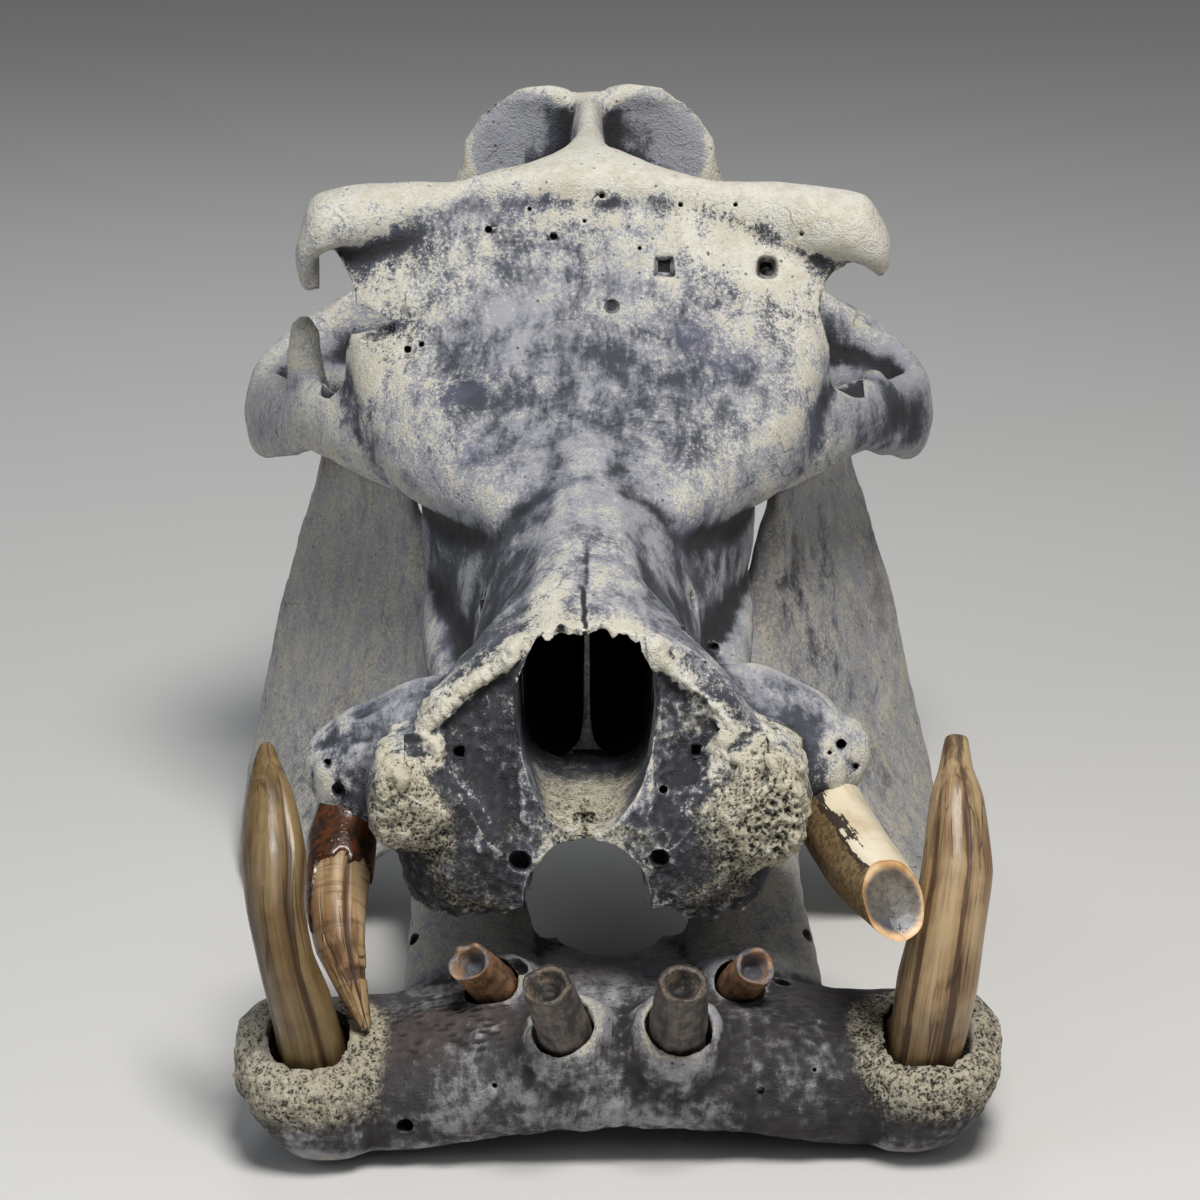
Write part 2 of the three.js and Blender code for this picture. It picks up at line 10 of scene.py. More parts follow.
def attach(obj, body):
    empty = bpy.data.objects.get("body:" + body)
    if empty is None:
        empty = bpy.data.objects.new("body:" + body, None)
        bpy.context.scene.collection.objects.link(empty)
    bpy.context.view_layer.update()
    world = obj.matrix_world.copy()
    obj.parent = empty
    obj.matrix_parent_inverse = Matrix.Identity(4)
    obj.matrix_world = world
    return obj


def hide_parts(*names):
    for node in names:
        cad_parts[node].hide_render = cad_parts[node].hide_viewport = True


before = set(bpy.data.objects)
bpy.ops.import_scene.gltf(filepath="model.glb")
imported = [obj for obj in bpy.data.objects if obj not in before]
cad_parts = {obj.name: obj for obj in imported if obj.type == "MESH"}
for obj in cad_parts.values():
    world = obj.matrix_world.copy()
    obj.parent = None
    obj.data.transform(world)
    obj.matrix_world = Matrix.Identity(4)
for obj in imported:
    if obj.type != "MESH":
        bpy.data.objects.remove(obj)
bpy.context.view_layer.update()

# ---- the table and the lights ---------------------------------------------------------------------------
# A pale floor, one broad soft light above the nose, a weaker one from each side, and a camera that looks
# down on the face from a little over two metres away.

bm = bmesh.new()
bmesh.ops.create_grid(bm, x_segments=1, y_segments=1, size=9)
floor_mesh = bpy.data.meshes.new("floor")
bm.to_mesh(floor_mesh)
bm.free()
floor = bpy.data.objects.new("floor", floor_mesh)
bpy.context.collection.objects.link(floor)
paper = bpy.data.materials.new("paper")
paper.use_nodes = True
paper.node_tree.nodes["Principled BSDF"].inputs["Base Color"].default_value = (0.62, 0.61, 0.59, 1)
paper.node_tree.nodes["Principled BSDF"].inputs["Roughness"].default_value = 0.8
floor_mesh.materials.append(paper)

for name, place, size, power, tint in (
    ("key", (0.3, -1.3, 2.3), 0.9, 66, (1, 0.985, 0.96)),
    ("left_fill", (-2.3, -1.5, 1.3), 1.4, 11, (0.82, 0.9, 1)),
    ("right_fill", (2.4, -1.4, 1.2), 1.4, 6, (1, 0.97, 0.93)),
    ("back", (-0.4, 1.8, 1.9), 1.2, 10, (0.88, 0.94, 1))):
    lamp = bpy.data.lights.new(name, "AREA")
    lamp.shape = "DISK"
    lamp.size, lamp.energy, lamp.color = size, power, tint
    holder = bpy.data.objects.new(name, lamp)
    holder.location = place
    holder.rotation_euler = (Vector((0, -0.05, 0.2)) - Vector(place)).to_track_quat("-Z", "Y").to_euler()
    bpy.context.collection.objects.link(holder)

sky = bpy.data.worlds.new("sky")
sky.use_nodes = True
sky.node_tree.nodes["Background"].inputs["Color"].default_value = (0.72, 0.75, 0.8, 1)
sky.node_tree.nodes["Background"].inputs["Strength"].default_value = 0.16
bpy.context.scene.world = sky
bpy.context.scene.view_settings.view_transform = "Standard"

eye = bpy.data.cameras.new("eye")
eye.sensor_width, eye.lens = 36, 141.75
camera = bpy.data.objects.new("eye", eye)
camera.location = (0.00472, -2.59841, 0.984)
camera.rotation_euler = (math.radians(73.5), 0, 0)
bpy.context.collection.objects.link(camera)
bpy.context.scene.camera = camera

# ---- the cranium ----------------------------------------------------------------------------------------
# One fused bone: snout, forehead, brow wings, braincase, crests, cheek arches and the stumps of the
# premaxillae. Each part is a skin through oval rings. The skins are fused, and the edges between them melt.

UNDER_MIDDLE = Matrix.Translation((-2.27882, -332.40906, 0))
SKULL_FRAME = (Matrix.Scale(0.001, 4) @ UNDER_MIDDLE @ Matrix.Translation((0, 40, 125))
               @ Matrix.Rotation(math.radians(8), 4, "X"))


def ring(centre, across, up, n=2.3, taper=0.0):
    """An oval ring. n squares its corners, and taper widens it towards `up`."""
    return np.array([*centre, *across, *up, n, taper], float)


def upright(y, w, top, bottom, x=0, n=2.3, taper=0.0):
    """A ring across the length of the bone, at y."""
    return ring((x, y, (top + bottom) / 2), (w, 0, 0), (0, 0, (top - bottom) / 2), n, taper)


def level(z, front, back, thick, n=2.3):
    """A ring that lies level at z, from its front end to its back end in plan."""
    (fx, fy), (bx, by) = front, back
    along = np.array([(bx - fx) / 2, (by - fy) / 2])
    side = np.array([-along[1], along[0]]) / np.hypot(*along) * thick
    return ring(((fx + bx) / 2, (fy + by) / 2, z), (*along, 0), (*side, 0), n)


def along_path(points, side=(1, 0, 0)):
    """Rings square to a path of [x, y, z, half-width, half-depth]."""
    spots = [Vector(p[:3]) for p in points]
    rings = []
    for i, (x, y, z, width, depth) in enumerate(points):
        ahead = (spots[min(i + 1, len(spots) - 1)] - spots[max(i - 1, 0)]).normalized()
        across = (Vector(side) - ahead * ahead.dot(Vector(side))).normalized()
        rings.append(ring((x, y, z), across * width, ahead.cross(across) * depth, 2.1))
    return rings


def other_side(rings):
    """The same rings across the middle plane."""
    return [row * [-1, 1, 1, -1, 1, 1, -1, 1, 1, 1, 1] for row in rings]


def eased(rings, steps):
    """The rings with more between them, on a smooth curve."""
    rows = [rings[0], *rings, rings[-1]]
    out = []
    for a, b, c, d in zip(rows, rows[1:], rows[2:], rows[3:]):
        for k in range(steps):
            t = k / steps
            curve = 0.5 * (2 * b + (c - a) * t + (2 * a - 5 * b + 4 * c - d) * t * t
                           + (3 * b - a - 3 * c + d) * t**3)
            out.append(0.5 * curve + 0.5 * (b + (c - b) * t))
    return out + [rings[-1]]


def skin(rings, steps=4, sides=32, swell=None):
    """A closed bmesh through the rings. Each point keeps its place on the straightened piece as `grain`, in
    metres. swell(turn, share) makes it thicker or thinner at an angle and a share of its length, and how much
    thinner is kept as `groove`."""
    bm = bmesh.new()
    grain, groove = bm.verts.layers.float_vector.new("grain"), bm.verts.layers.float.new("groove")
    rows, hoops, run = eased(rings, steps), [], 0.0
    length = sum(np.linalg.norm(b[:3] - a[:3]) for a, b in zip(rows, rows[1:]))
    for before, row in zip([rows[0], *rows], rows):
        run += np.linalg.norm(row[:3] - before[:3])
        hoop = bmesh.ops.create_circle(bm, segments=sides, radius=1)["verts"]
        for vert in hoop:
            turn = math.atan2(vert.co.y, vert.co.x)
            rise = math.copysign(abs(math.sin(turn)) ** (2 / row[9]), math.sin(turn))
            out = math.copysign(abs(math.cos(turn)) ** (2 / row[9]), math.cos(turn)) * (1 + row[10] * rise)
            if swell:
                size = swell(turn, run / length)
                rise, out, vert[groove] = rise * size, out * size, 1 - size
            vert[grain] = (out * np.linalg.norm(row[3:6]) / 1000, rise * np.linalg.norm(row[6:9]) / 1000,
                           run / 1000)
            vert.co = row[:3] + row[3:6] * out + row[6:9] * rise
        hoops.append(list({edge for vert in hoop for edge in vert.link_edges}))
    for near, far in zip(hoops, hoops[1:]):
        bmesh.ops.bridge_loops(bm, edges=near + far)
    for end in (hoops[0], hoops[-1]):
        bmesh.ops.contextual_create(bm, geom=end)
    bmesh.ops.recalc_face_normals(bm, faces=bm.faces)
    return bm


def gathered(name, skins):
    """One object that holds all the skins."""
    whole = bmesh.new()
    for bm in skins:
        part = bpy.data.meshes.new("part")
        bm.to_mesh(part)
        bm.free()
        whole.from_mesh(part)
        bpy.data.meshes.remove(part)
    mesh = bpy.data.meshes.new(name)
    whole.to_mesh(mesh)
    whole.free()
    made = bpy.data.objects.new(name, mesh)
    bpy.context.collection.objects.link(made)
    return made


def apply_modifiers(piece):
    """The piece's mesh as its modifiers leave it."""
    sheet = bpy.data.meshes.new_from_object(piece.evaluated_get(bpy.context.evaluated_depsgraph_get()))
    old, piece.data = piece.data, sheet
    piece.modifiers.clear()
    bpy.data.meshes.remove(old)


def fused(piece, grain):
    """Overlapping skins made one, on a grid of `grain` millimetres."""
    melt = piece.modifiers.new("melt", "REMESH")
    melt.mode, melt.voxel_size, melt.adaptivity = "VOXEL", grain, 0
    apply_modifiers(piece)


def drop_crumbs(piece, fewest=200):
    """Takes away the tiny closed bits, of fewer points than this, that a cut leaves loose."""
    bm = bmesh.new()
    bm.from_mesh(piece.data)
    left = set(bm.verts)
    while left:
        reached = {left.pop()}
        edge_of_reach = set(reached)
        while edge_of_reach:
            edge_of_reach = {edge.other_vert(vert) for vert in edge_of_reach for edge in vert.link_edges}
            edge_of_reach -= reached
            reached |= edge_of_reach
        left -= reached
        if len(reached) < fewest:
            bmesh.ops.delete(bm, geom=list(reached), context="VERTS")
    bm.to_mesh(piece.data)
    bm.free()


def carved(piece, *tools):
    """The piece with the space of each tool, a list of skins that stand apart, taken out of it."""
    for skins in tools:
        tool = gathered("tool", skins)
        cut = piece.modifiers.new("cut", "BOOLEAN")
        cut.operation, cut.solver, cut.object = "DIFFERENCE", "MANIFOLD", tool
        apply_modifiers(piece)
        bpy.data.objects.remove(tool)
    drop_crumbs(piece)


def spots_of(mesh):
    """The places of the mesh's points, one row each."""
    spots = np.empty(len(mesh.vertices) * 3)
    mesh.vertices.foreach_get("co", spots)
    return spots.reshape(-1, 3)


def facing_of(mesh):
    """The way the surface faces at each point."""
    facing = np.empty(len(mesh.vertices) * 3)
    mesh.vertex_normals.foreach_get("vector", facing)
    return facing.reshape(-1, 3)


def put_spots(mesh, spots):
    """Moves the mesh's points to these places."""
    mesh.vertices.foreach_set("co", spots.ravel())
    mesh.update()


def neighbours_mean(mesh, values):
    """The mean of each point's neighbours."""
    ends = np.empty(len(mesh.edges) * 2, int)
    mesh.edges.foreach_get("vertices", ends)
    a, b = ends[::2], ends[1::2]
    count = np.bincount(np.concatenate((a, b)), minlength=len(values))[:, None]
    total = np.stack([
        np.bincount(a, values[b, k], len(values)) + np.bincount(b, values[a, k], len(values))
        for k in range(values.shape[1])], 1)
    return total / np.maximum(count, 1)


def worn(piece, rounds):
    """Smooths the piece. Each push in is followed by a push out, so that it does not shrink."""
    spots = spots_of(piece.data)
    for _ in range(rounds):
        for push in (0.6, -0.62):
            spots += (neighbours_mean(piece.data, spots) - spots) * push
    put_spots(piece.data, spots)


def finer(piece, inside, longest):
    """Halves the edges longer than this whose ends both lie inside, so that finer relief can be cut there.
    Points that only two edges meet at are taken out, so that no two faces share more than one edge."""
    bm = bmesh.new()
    bm.from_mesh(piece.data)
    bm.verts.ensure_lookup_table()
    edges = [edge for edge in bm.edges if inside[edge.verts[0].index] and inside[edge.verts[1].index]
             and edge.calc_length() > longest]
    bmesh.ops.subdivide_edges(bm, edges=edges, cuts=1, use_grid_fill=True)
    bmesh.ops.dissolve_verts(bm, verts=[vert for vert in bm.verts if len(vert.link_edges) == 2])
    bm.to_mesh(piece.data)
    bm.free()


def smooth(piece):
    """Shades the piece as one flowing surface."""
    for face in piece.data.polygons:
        face.use_smooth = True


def hollowness(piece):
    """How far each point lies below the bone round it: above 0 in pits and folds, below 0 on edges. It is
    used to paint shade into pits and folds.
    """
    spots, facing, total = spots_of(piece.data), facing_of(piece.data), 0
    mean = spots
    for rounds, weight in ((4, 0.75), (26, 0.16)):
        for _ in range(rounds):
            mean = neighbours_mean(piece.data, mean)
        total = total + ((mean - spots) * facing).sum(1) * weight
    return total


SNOUT_AND_BRAINCASE = [
    upright(8, 72, 50, 2, taper=-0.1), upright(36, 84, 112, -4, taper=-0.46),
    upright(66, 84, 138, -5, n=2.2, taper=-0.5), upright(110, 72, 139, -6, taper=-0.4),
    upright(150, 60, 139, -8, n=2.4, taper=-0.3), upright(195, 59, 140, -8, n=2.4, taper=-0.3),
    upright(250, 64, 140, -8, n=2.5, taper=-0.26), upright(310, 80, 146, -8, n=2.7, taper=-0.08),
    upright(370, 97, 166, -8, n=3.4), upright(420, 96, 188, -6, n=3.4, taper=-0.04),
    upright(455, 80, 200, 8, n=2.5, taper=-0.08), upright(490, 54, 202, 30, taper=-0.04),
    upright(590, 72, 204, 42, taper=-0.2), upright(630, 84, 190, 46, taper=-0.2)]
NASALS = [
    upright(44, 37, 134, 96, n=2.7), upright(62, 39, 138, 96, n=2.8), upright(100, 37, 141, 94, n=2.6),
    upright(150, 33, 142.5, 92, n=2.4), upright(210, 29, 143, 90, n=2.3), upright(280, 26, 146, 90, n=2.2),
    upright(340, 30, 158, 110, n=2.1)]
MUZZLE = [
    upright(26, 90, 98, 18, n=2), upright(46, 96, 122, 4, n=2), upright(62, 95, 137.5, -16, n=2),
    upright(84, 90, 138, -16, n=2), upright(108, 79, 137, -16, n=2), upright(138, 66, 136, -14, n=2),
    upright(172, 55, 135, -12, n=2)]
FOREHEAD = [
    upright(258, 54, 138, 86), upright(300, 82, 146, 80, n=2.4), upright(336, 113, 160, 79, n=2.7),
    upright(370, 132, 179, 76, n=3.1), upright(400, 141, 202, 78, n=3.4), upright(424, 148, 226, 92, n=3.6),
    upright(444, 152, 247, 120, n=4.4), upright(460, 124, 243, 150, n=3.4), upright(480, 72, 238, 160),
    upright(512, 26, 236, 170)]
LEFT_WING = along_path(
    [[-60, 449, 224, 14, 24], [-104, 446, 228, 17, 21], [-134, 439, 231, 22, 18], [-153, 435, 229, 24, 16],
     [-164, 434, 214, 19, 6.5], [-165, 436, 200, 12, 5], [-163, 437, 187, 7, 3.6]], side=(0, 1, 0))
RIGHT_WING = along_path(
    [[60, 449, 224, 14, 24], [104, 446, 228, 17, 22], [134, 439, 229, 22, 20], [153, 436, 225, 23, 21],
     [166, 435, 214, 18, 12], [171, 437, 203, 11, 6], [171, 438, 197, 6, 3.4]], side=(0, 1, 0))
SAGITTAL_CREST = [
    upright(490, 20, 240, 170, taper=-0.4), upright(530, 13, 240, 170, taper=-0.3),
    upright(575, 11, 242, 170, taper=-0.2), upright(612, 12, 247, 170, taper=-0.1),
    upright(632, 15, 246, 160, taper=-0.1)]
CREST_RAMP = [
    upright(438, 116, 254, 200, n=2.2), upright(446, 110, 258, 198, n=2.1), upright(456, 88, 260, 195, n=2),
    upright(470, 60, 261, 192, n=2), upright(490, 34, 259, 190, n=2.1), upright(518, 18, 254, 184, n=2.2),
    upright(560, 10, 249, 178), upright(612, 8, 248, 176)]
NUCHAL_CREST = [level(z, (-half, y), (half, y), thick, n=2.6) for z, half, y, thick in (
    (34, 70, 632, 14), (62, 124, 630, 18), (100, 138, 628, 20), (140, 118, 626, 18), (172, 93, 626, 15),
    (196, 81, 626, 13), (214, 74, 625, 12), (228, 58, 625, 11))]
CREST_LOBE = [level(z, (inner, 624), (outer, 624), thick, n=2.5) for z, inner, outer, thick in (
    (180, 6, 80, 12), (200, 4, 80, 11), (216, 3, 77, 10), (230, 3, 68, 9), (241, 5, 56, 7.5),
    (248, 10, 45, 6), (251, 17, 36, 4))]
CHEEK_ARCH = along_path(
    [[104, 368, 112, 20, 26], [134, 400, 112, 16, 26], [163, 446, 103, 13, 21], [184, 492, 83, 12, 24],
     [200, 535, 68, 12, 29], [194, 566, 79, 13, 23], [168, 588, 96, 16, 20], [126, 602, 108, 22, 26],
     [84, 604, 118, 22, 34]])
ARCH_ROOT = along_path(
    [[70, 606, 162, 9, 28], [108, 596, 117, 8, 35], [148, 580, 96, 8, 29], [182, 560, 81, 8, 19],
     [199, 540, 67, 8, 13]],
    side=(0, 1, 0))
BAR_BEHIND_EYE = along_path(
    [[-176, 486, 78, 15, 12], [-167, 476, 96, 13, 14], [-169, 470, 120, 10, 12], [-170, 467, 140, 8, 10],
     [-170, 465, 153, 6.5, 8], [-170, 465, 159, 4, 4.5]], side=(0, 1, 0))
BROKEN_BAR = along_path(
    [[178, 486, 80, 15, 10], [173, 481, 100, 13, 11], [170, 477, 113, 9, 9], [168, 475, 119, 5, 5]],
    side=(0, 1, 0))
LEFT_BROKEN_FACE = [
    upright(8, 17, 78, 44, x=-93, n=2.4), upright(14, 21, 84, 38, x=-92, n=2.5),
    upright(40, 32, 90, 20, x=-84, n=2.6), upright(70, 36, 86, 8, x=-76, n=2.6)]
RIGHT_BROKEN_FACE = [
    upright(6, 20, 80, 36, x=88, n=2.3), upright(13, 27, 89, 28, x=85, n=2.4),
    upright(40, 36, 92, 16, x=80, n=2.6), upright(70, 38, 86, 4, x=76, n=2.6)]
STUMP = [
    upright(19, 20, 26, 2, x=60, n=2.4), upright(25, 28, 36, -8, x=61, n=2.6),
    upright(42, 33, 50, -12, x=64, n=2.8), upright(64, 36, 60, -12, x=66, n=2.8),
    upright(90, 34, 70, -6, x=64, n=2.6)]
KEEL = [
    upright(420, 46, 60, -4), upright(455, 40, 70, 6), upright(500, 34, 80, 32), upright(560, 38, 90, 44),
    upright(620, 46, 100, 48), upright(650, 36, 96, 58)]
JOINT_SHELF = along_path(
    [[60, 580, 86, 32, 16], [100, 578, 82, 30, 13], [150, 574, 81, 26, 12], [188, 568, 82, 22, 12]],
    side=(0, 1, 0))
NECK_CONDYLE = along_path([
    [24, 634, 84, 22, 22], [32, 650, 84, 22, 24], [38, 664, 84, 14, 17], [40, 671, 84, 5, 6]])
PTERYGOID = [
    level(60, (38, 430), (38, 520), 8), level(20, (42, 440), (42, 500), 6),
    level(-6, (44, 452), (46, 484), 4.5)]
HANGING_PROCESS = [
    level(80, (96, 612), (98, 642), 24), level(40, (98, 618), (99, 640), 14),
    level(6, (100, 622), (100, 636), 7)]
TOOTH_RIDGE = [
    upright(168, 14, 30, -6, x=58), upright(230, 22, 40, -12, x=64, n=2.8),
    upright(320, 28, 40, -13, x=68, n=2.8), upright(420, 28, 40, -12, x=68, n=2.8),
    upright(446, 18, 34, 0, x=66)]


def tusk_process(lift):
    """The flared end of the maxilla that holds an upper tusk."""
    return along_path(
        [[50, 114, 56, 36, 34], [84, 108, 50 + lift, 40, 36], [110, 98, 44 + lift, 40, 32],
         [130, 91, 40 + lift, 33, 26], [143, 87, 39 + lift, 22, 18], [148, 85, 39 + lift, 9, 9]],
        side=(0, 1, 0))


single = (
    SNOUT_AND_BRAINCASE, NASALS, MUZZLE, FOREHEAD, LEFT_WING, RIGHT_WING, CREST_RAMP, SAGITTAL_CREST,
    NUCHAL_CREST, KEEL, tusk_process(9), other_side(tusk_process(0)), BAR_BEHIND_EYE, BROKEN_BAR,
    LEFT_BROKEN_FACE, RIGHT_BROKEN_FACE)
paired = (
    CREST_LOBE, CHEEK_ARCH, ARCH_ROOT, STUMP, JOINT_SHELF, NECK_CONDYLE, PTERYGOID, HANGING_PROCESS,
    TOOTH_RIDGE)
cranium = gathered("cranium_bone", [skin(rings) for rings in (*single, *paired, *map(other_side, paired))])
fused(cranium, grain=4.5)
worn(cranium, rounds=14)

# The openings: the nose and its two passages, the notch between the premaxillae, the palate's vault, the
# hole for the spinal cord, the eye sockets and the notch under the left brow.
NOSE = [
    upright(-30, 36, 150, 44, n=2.4, taper=0.18), upright(20, 35, 142, 45, n=2.5, taper=0.18),
    upright(60, 36, 136.5, 43, n=3, taper=0.14), upright(98, 36, 135, 38, n=3.2, taper=0.05),
    upright(128, 36, 133, 38, n=3.2)]
NOSE_PASSAGE = [
    upright(118, 17, 131, 38, x=-18.8, n=4), upright(150, 16, 129, 35, x=-17.6, n=4),
    upright(240, 14, 122, 32, x=-17, n=2.6), upright(320, 10, 106, 38, x=-13)]
PREMAXILLA_NOTCH = [
    upright(-20, 34, 43, -40), upright(24, 33, 42, -40, n=2.6), upright(64, 31, 30, -40),
    upright(110, 26, 14, -40), upright(160, 16, -2, -40)]
PALATE_VAULT = [
    upright(120, 20, 2, -30), upright(180, 34, 10, -40), upright(300, 40, 16, -40),
    upright(425, 40, 18, -40), upright(470, 34, 30, -40)]
SPINAL_HOLE = [upright(560, 12, 108, 84), upright(640, 19, 114, 78), upright(700, 24, 120, 74)]


def sideways(x, y, z, depth, height, n=2.3):
    """A ring that faces sideways, at x."""
    return ring((x, y, z), (0, depth, 0), (0, 0, height), n)


LEFT_EYE = [
    sideways(-78, 441, 168, 16, 18), sideways(-104, 439, 169, 30, 32), sideways(-130, 437, 164, 33, 33),
    sideways(-143, 437, 164, 34, 41), sideways(-152, 437, 167, 34, 53), sideways(-158, 437, 166, 30, 44)]
RIGHT_EYE = [
    sideways(78, 441, 168, 16, 18), sideways(104, 439, 169, 30, 32), sideways(130, 437, 164, 33, 33),
    sideways(145, 437, 162, 34, 40), sideways(164, 437, 160, 32, 40)]
BROW_NOTCH = [
    sideways(-112, 398, 180, 10, 4), sideways(-124, 396, 180, 18, 7), sideways(-150, 394, 182, 26, 12)]


def face_of_nose():
    """The space in front of the nose. Its back is the sloping, dished front of the bone, ragged on top."""
    bm = bmesh.new()
    wall = bmesh.ops.create_grid(bm, x_segments=150, y_segments=100, size=0.5)["verts"]
    for vert in wall:
        x, z = vert.co.x * 190, 92 + vert.co.y * 124
        edge = np.interp(z, (36, 50, 66, 78, 85, 91, 99, 109, 121, 126, 140),
                         (34, 46, 62, 76, 78, 85, 77, 63, 46, 42, 40))
        edge *= 0.92 if x > 0 else 1
        middle, half = (34 + edge) / 2, max(8, (edge - 34) / 2)
        dish = max(0, 1 - ((abs(x) - middle) / half) ** 2) * min(10, max(0, (edge - 40) * 0.5))
        back = 15 + (z - 46) * 0.566 + dish
        ragged = noise.noise(Vector((x * 0.11, 3.1, 0))) * 7
        ragged += noise.noise(Vector((x * 0.3, 8.4, z * 0.1))) * 4
        at_top, over_nose = np.interp(z, (120, 130), (0, 1)), np.interp(abs(x), (38, 46), (1, 0))
        back += (ragged + 1) * at_top * over_nose - 6 * np.interp(z, (136, 154), (0, 1))
        high, past = np.interp(z, (80, 92), (0, 1)), max(0, abs(x) - edge)
        vert.co = x, back - 90 * (past / 58) ** 1.7 * (1 - high) + min(past, 16) * high, z
    front = bmesh.ops.extrude_face_region(bm, geom=bm.faces[:])["geom"]
    for vert in front:
        if isinstance(vert, bmesh.types.BMVert):
            vert.co.y = -110
    bmesh.ops.recalc_face_normals(bm, faces=bm.faces)
    return bm


def nose_hole():
    """The nose cavity as far back as its septum, with a torn upper lip."""
    bm = skin(NOSE, steps=16, sides=96)
    for vert in bm.verts:
        x, y, z = vert.co
        torn = noise.noise(Vector((x * 0.14, 5, y * 0.05))) * 4
        torn += noise.noise(Vector((x * 0.42, 2, y * 0.1))) * 2.4 + 4 * max(0, abs(x) / 36 - 0.8) / 0.2
        vert.co.z -= torn * np.interp(z, (105, 120), (0, 1)) * np.interp(y, (75, 100), (1, 0))
    return bm


def hole(piece, at, towards, radius, depth, shape=2.1):
    """A small hole, `depth` deep, where the line through `at` meets the piece. It is wider at its mouth."""
    at, way = Vector(at), Vector(towards).normalized()
    found, mouth, *_ = piece.ray_cast(at - way * 45, way)
    at = mouth if found else at
    side = Vector((1, 0, 0)) if abs(way.x) < 0.8 else Vector((0, 1, 0))
    rings = along_path([[*spot, radius * share, radius * share] for spot, share in (
        (at - way * 9, 1.5), (at, 1.15), (at + way * depth * 0.5, 0.9), (at + way * depth, 0.6))], side)
    for row in rings:
        row[9] = shape
    return skin(rings, steps=2, sides=20)


carved(cranium, [face_of_nose()], [nose_hole()], *([skin(rings, steps=6, sides=48)] for rings in (
    NOSE_PASSAGE, other_side(NOSE_PASSAGE), PREMAXILLA_NOTCH, PALATE_VAULT, SPINAL_HOLE, LEFT_EYE,
    RIGHT_EYE, BROW_NOTCH)))
bpy.context.view_layer.update()

# Holes for nerves and vessels, and later damage. Each has a place near it, the way it runs, its radius and
# depth, and for the square ones how square it is.
INWARDS, FROM_LEFT, FROM_RIGHT = (0, 0.91, -0.415), (1, 0.2, 0), (-1, 0.2, 0)
small_holes = [hole(cranium, *spec) for spec in (
    ((44, 425, 205), INWARDS, 5.8, 8, 7), ((104, 425, 205), INWARDS, 6.4, 22, 2.6),
    ((14, 415, 183), INWARDS, 4.2, 4), ((-104, 400, 162), INWARDS, 2, 8),
    ((-96, 398, 166), INWARDS, 1.4, 6), ((54, 440, 238), INWARDS, 1.7, 8),
    ((-58, 440, 222), INWARDS, 1.6, 8), ((86, 440, 238), INWARDS, 1.4, 8),
    ((-20, 430, 222), INWARDS, 1.7, 6), ((124, 428, 224), INWARDS, 1.3, 6),
    ((-2, 430, 232), INWARDS, 1.4, 6), ((-34, 430, 240), INWARDS, 1.2, 6),
    ((30, 430, 214), INWARDS, 1.5, 6), ((70, 425, 212), INWARDS, 1.2, 6), ((8, 440, 244), INWARDS, 1.5, 6),
    ((-66, 32, 84), INWARDS, 2.1, 10), ((57, 30, 86), INWARDS, 1.9, 10), ((40, 20, 68), INWARDS, 1.8, 8),
    ((-1, 36, 46), (0, 0.3, -1), 5.4, 7, 5), ((134, 84, 64), INWARDS, 2.6, 10),
    ((128, 86, 58), INWARDS, 1.7, 10), ((143, 84, 50), INWARDS, 1.8, 8), ((-138, 84, 52), INWARDS, 2.4, 9),
    ((-132, 86, 36), INWARDS, 3, 9), ((-34, 18, 28), INWARDS, 5.5, 12), ((38, 18, 30), INWARDS, 4.5, 12),
    ((-66, 232, 78), FROM_LEFT, 6, 22), ((66, 232, 78), FROM_RIGHT, 6, 22),
    ((62, 118, 112), FROM_RIGHT, 2, 9), ((72, 84, 118), INWARDS, 3, 8))]
carved(cranium, small_holes)


def blob(spots, centre, radius):
    """How near each point is to a centre, from 1 down to 0."""
    return np.exp(-(((spots - np.array(centre)) / radius) ** 2).sum(1))


def from_line(spots, line):
    """Each point's distance from a chain of points."""
    best = np.full(len(spots), 1e9)
    for a, b in zip(np.array(line[:-1], float), np.array(line[1:], float)):
        share = np.clip((spots - a) @ (b - a) / ((b - a) @ (b - a)), 0, 1)
        best = np.minimum(best, np.linalg.norm(spots - a - share[:, None] * (b - a), axis=1))
    return best


def paint(piece, name, values):
    """Keeps one number for each point, which a finish can read."""
    values = np.clip(values, -1, 1.5).astype(np.float32)
    piece.data.attributes.new(name, "FLOAT", "POINT").data.foreach_set("value", values)


def rough(spots, size, seed):
    """A soft noise of the given size at each point."""
    return np.array([noise.noise(Vector((x / size + seed, y / size, z / size))) for x, y, z in spots])


def crumbled(spots, facing, broken, seed, honeycomb):
    """Moves broken bone in and out: crumbs a few millimetres across, and deep pores where honeycomb is 1."""
    pit = np.zeros(len(spots))
    for i in np.flatnonzero(broken > 0.05):
        place = Vector(spots[i]) + Vector((seed, 0, 0))
        cell = noise.voronoi(Vector((place.x / 4.2, place.y / 4.2, place.z / 5.6)))[0]
        pore = min(1, max(0, (cell[1] - cell[0]) * 1.9 - 0.12)) * honeycomb[i]
        crumb = noise.noise(place / 8) * 2 + noise.noise(place / 3.4) * 1.1 + noise.noise(place / 1.9) * 0.9
        amount = min(1, broken[i] * 1.3)
        spots[i] += facing[i] * (crumb - pore * 3.6) * amount
        pit[i] = (pore * 0.9 - noise.noise(place / 1.9) * 0.35 - crumb * 0.06) * amount
    return pit


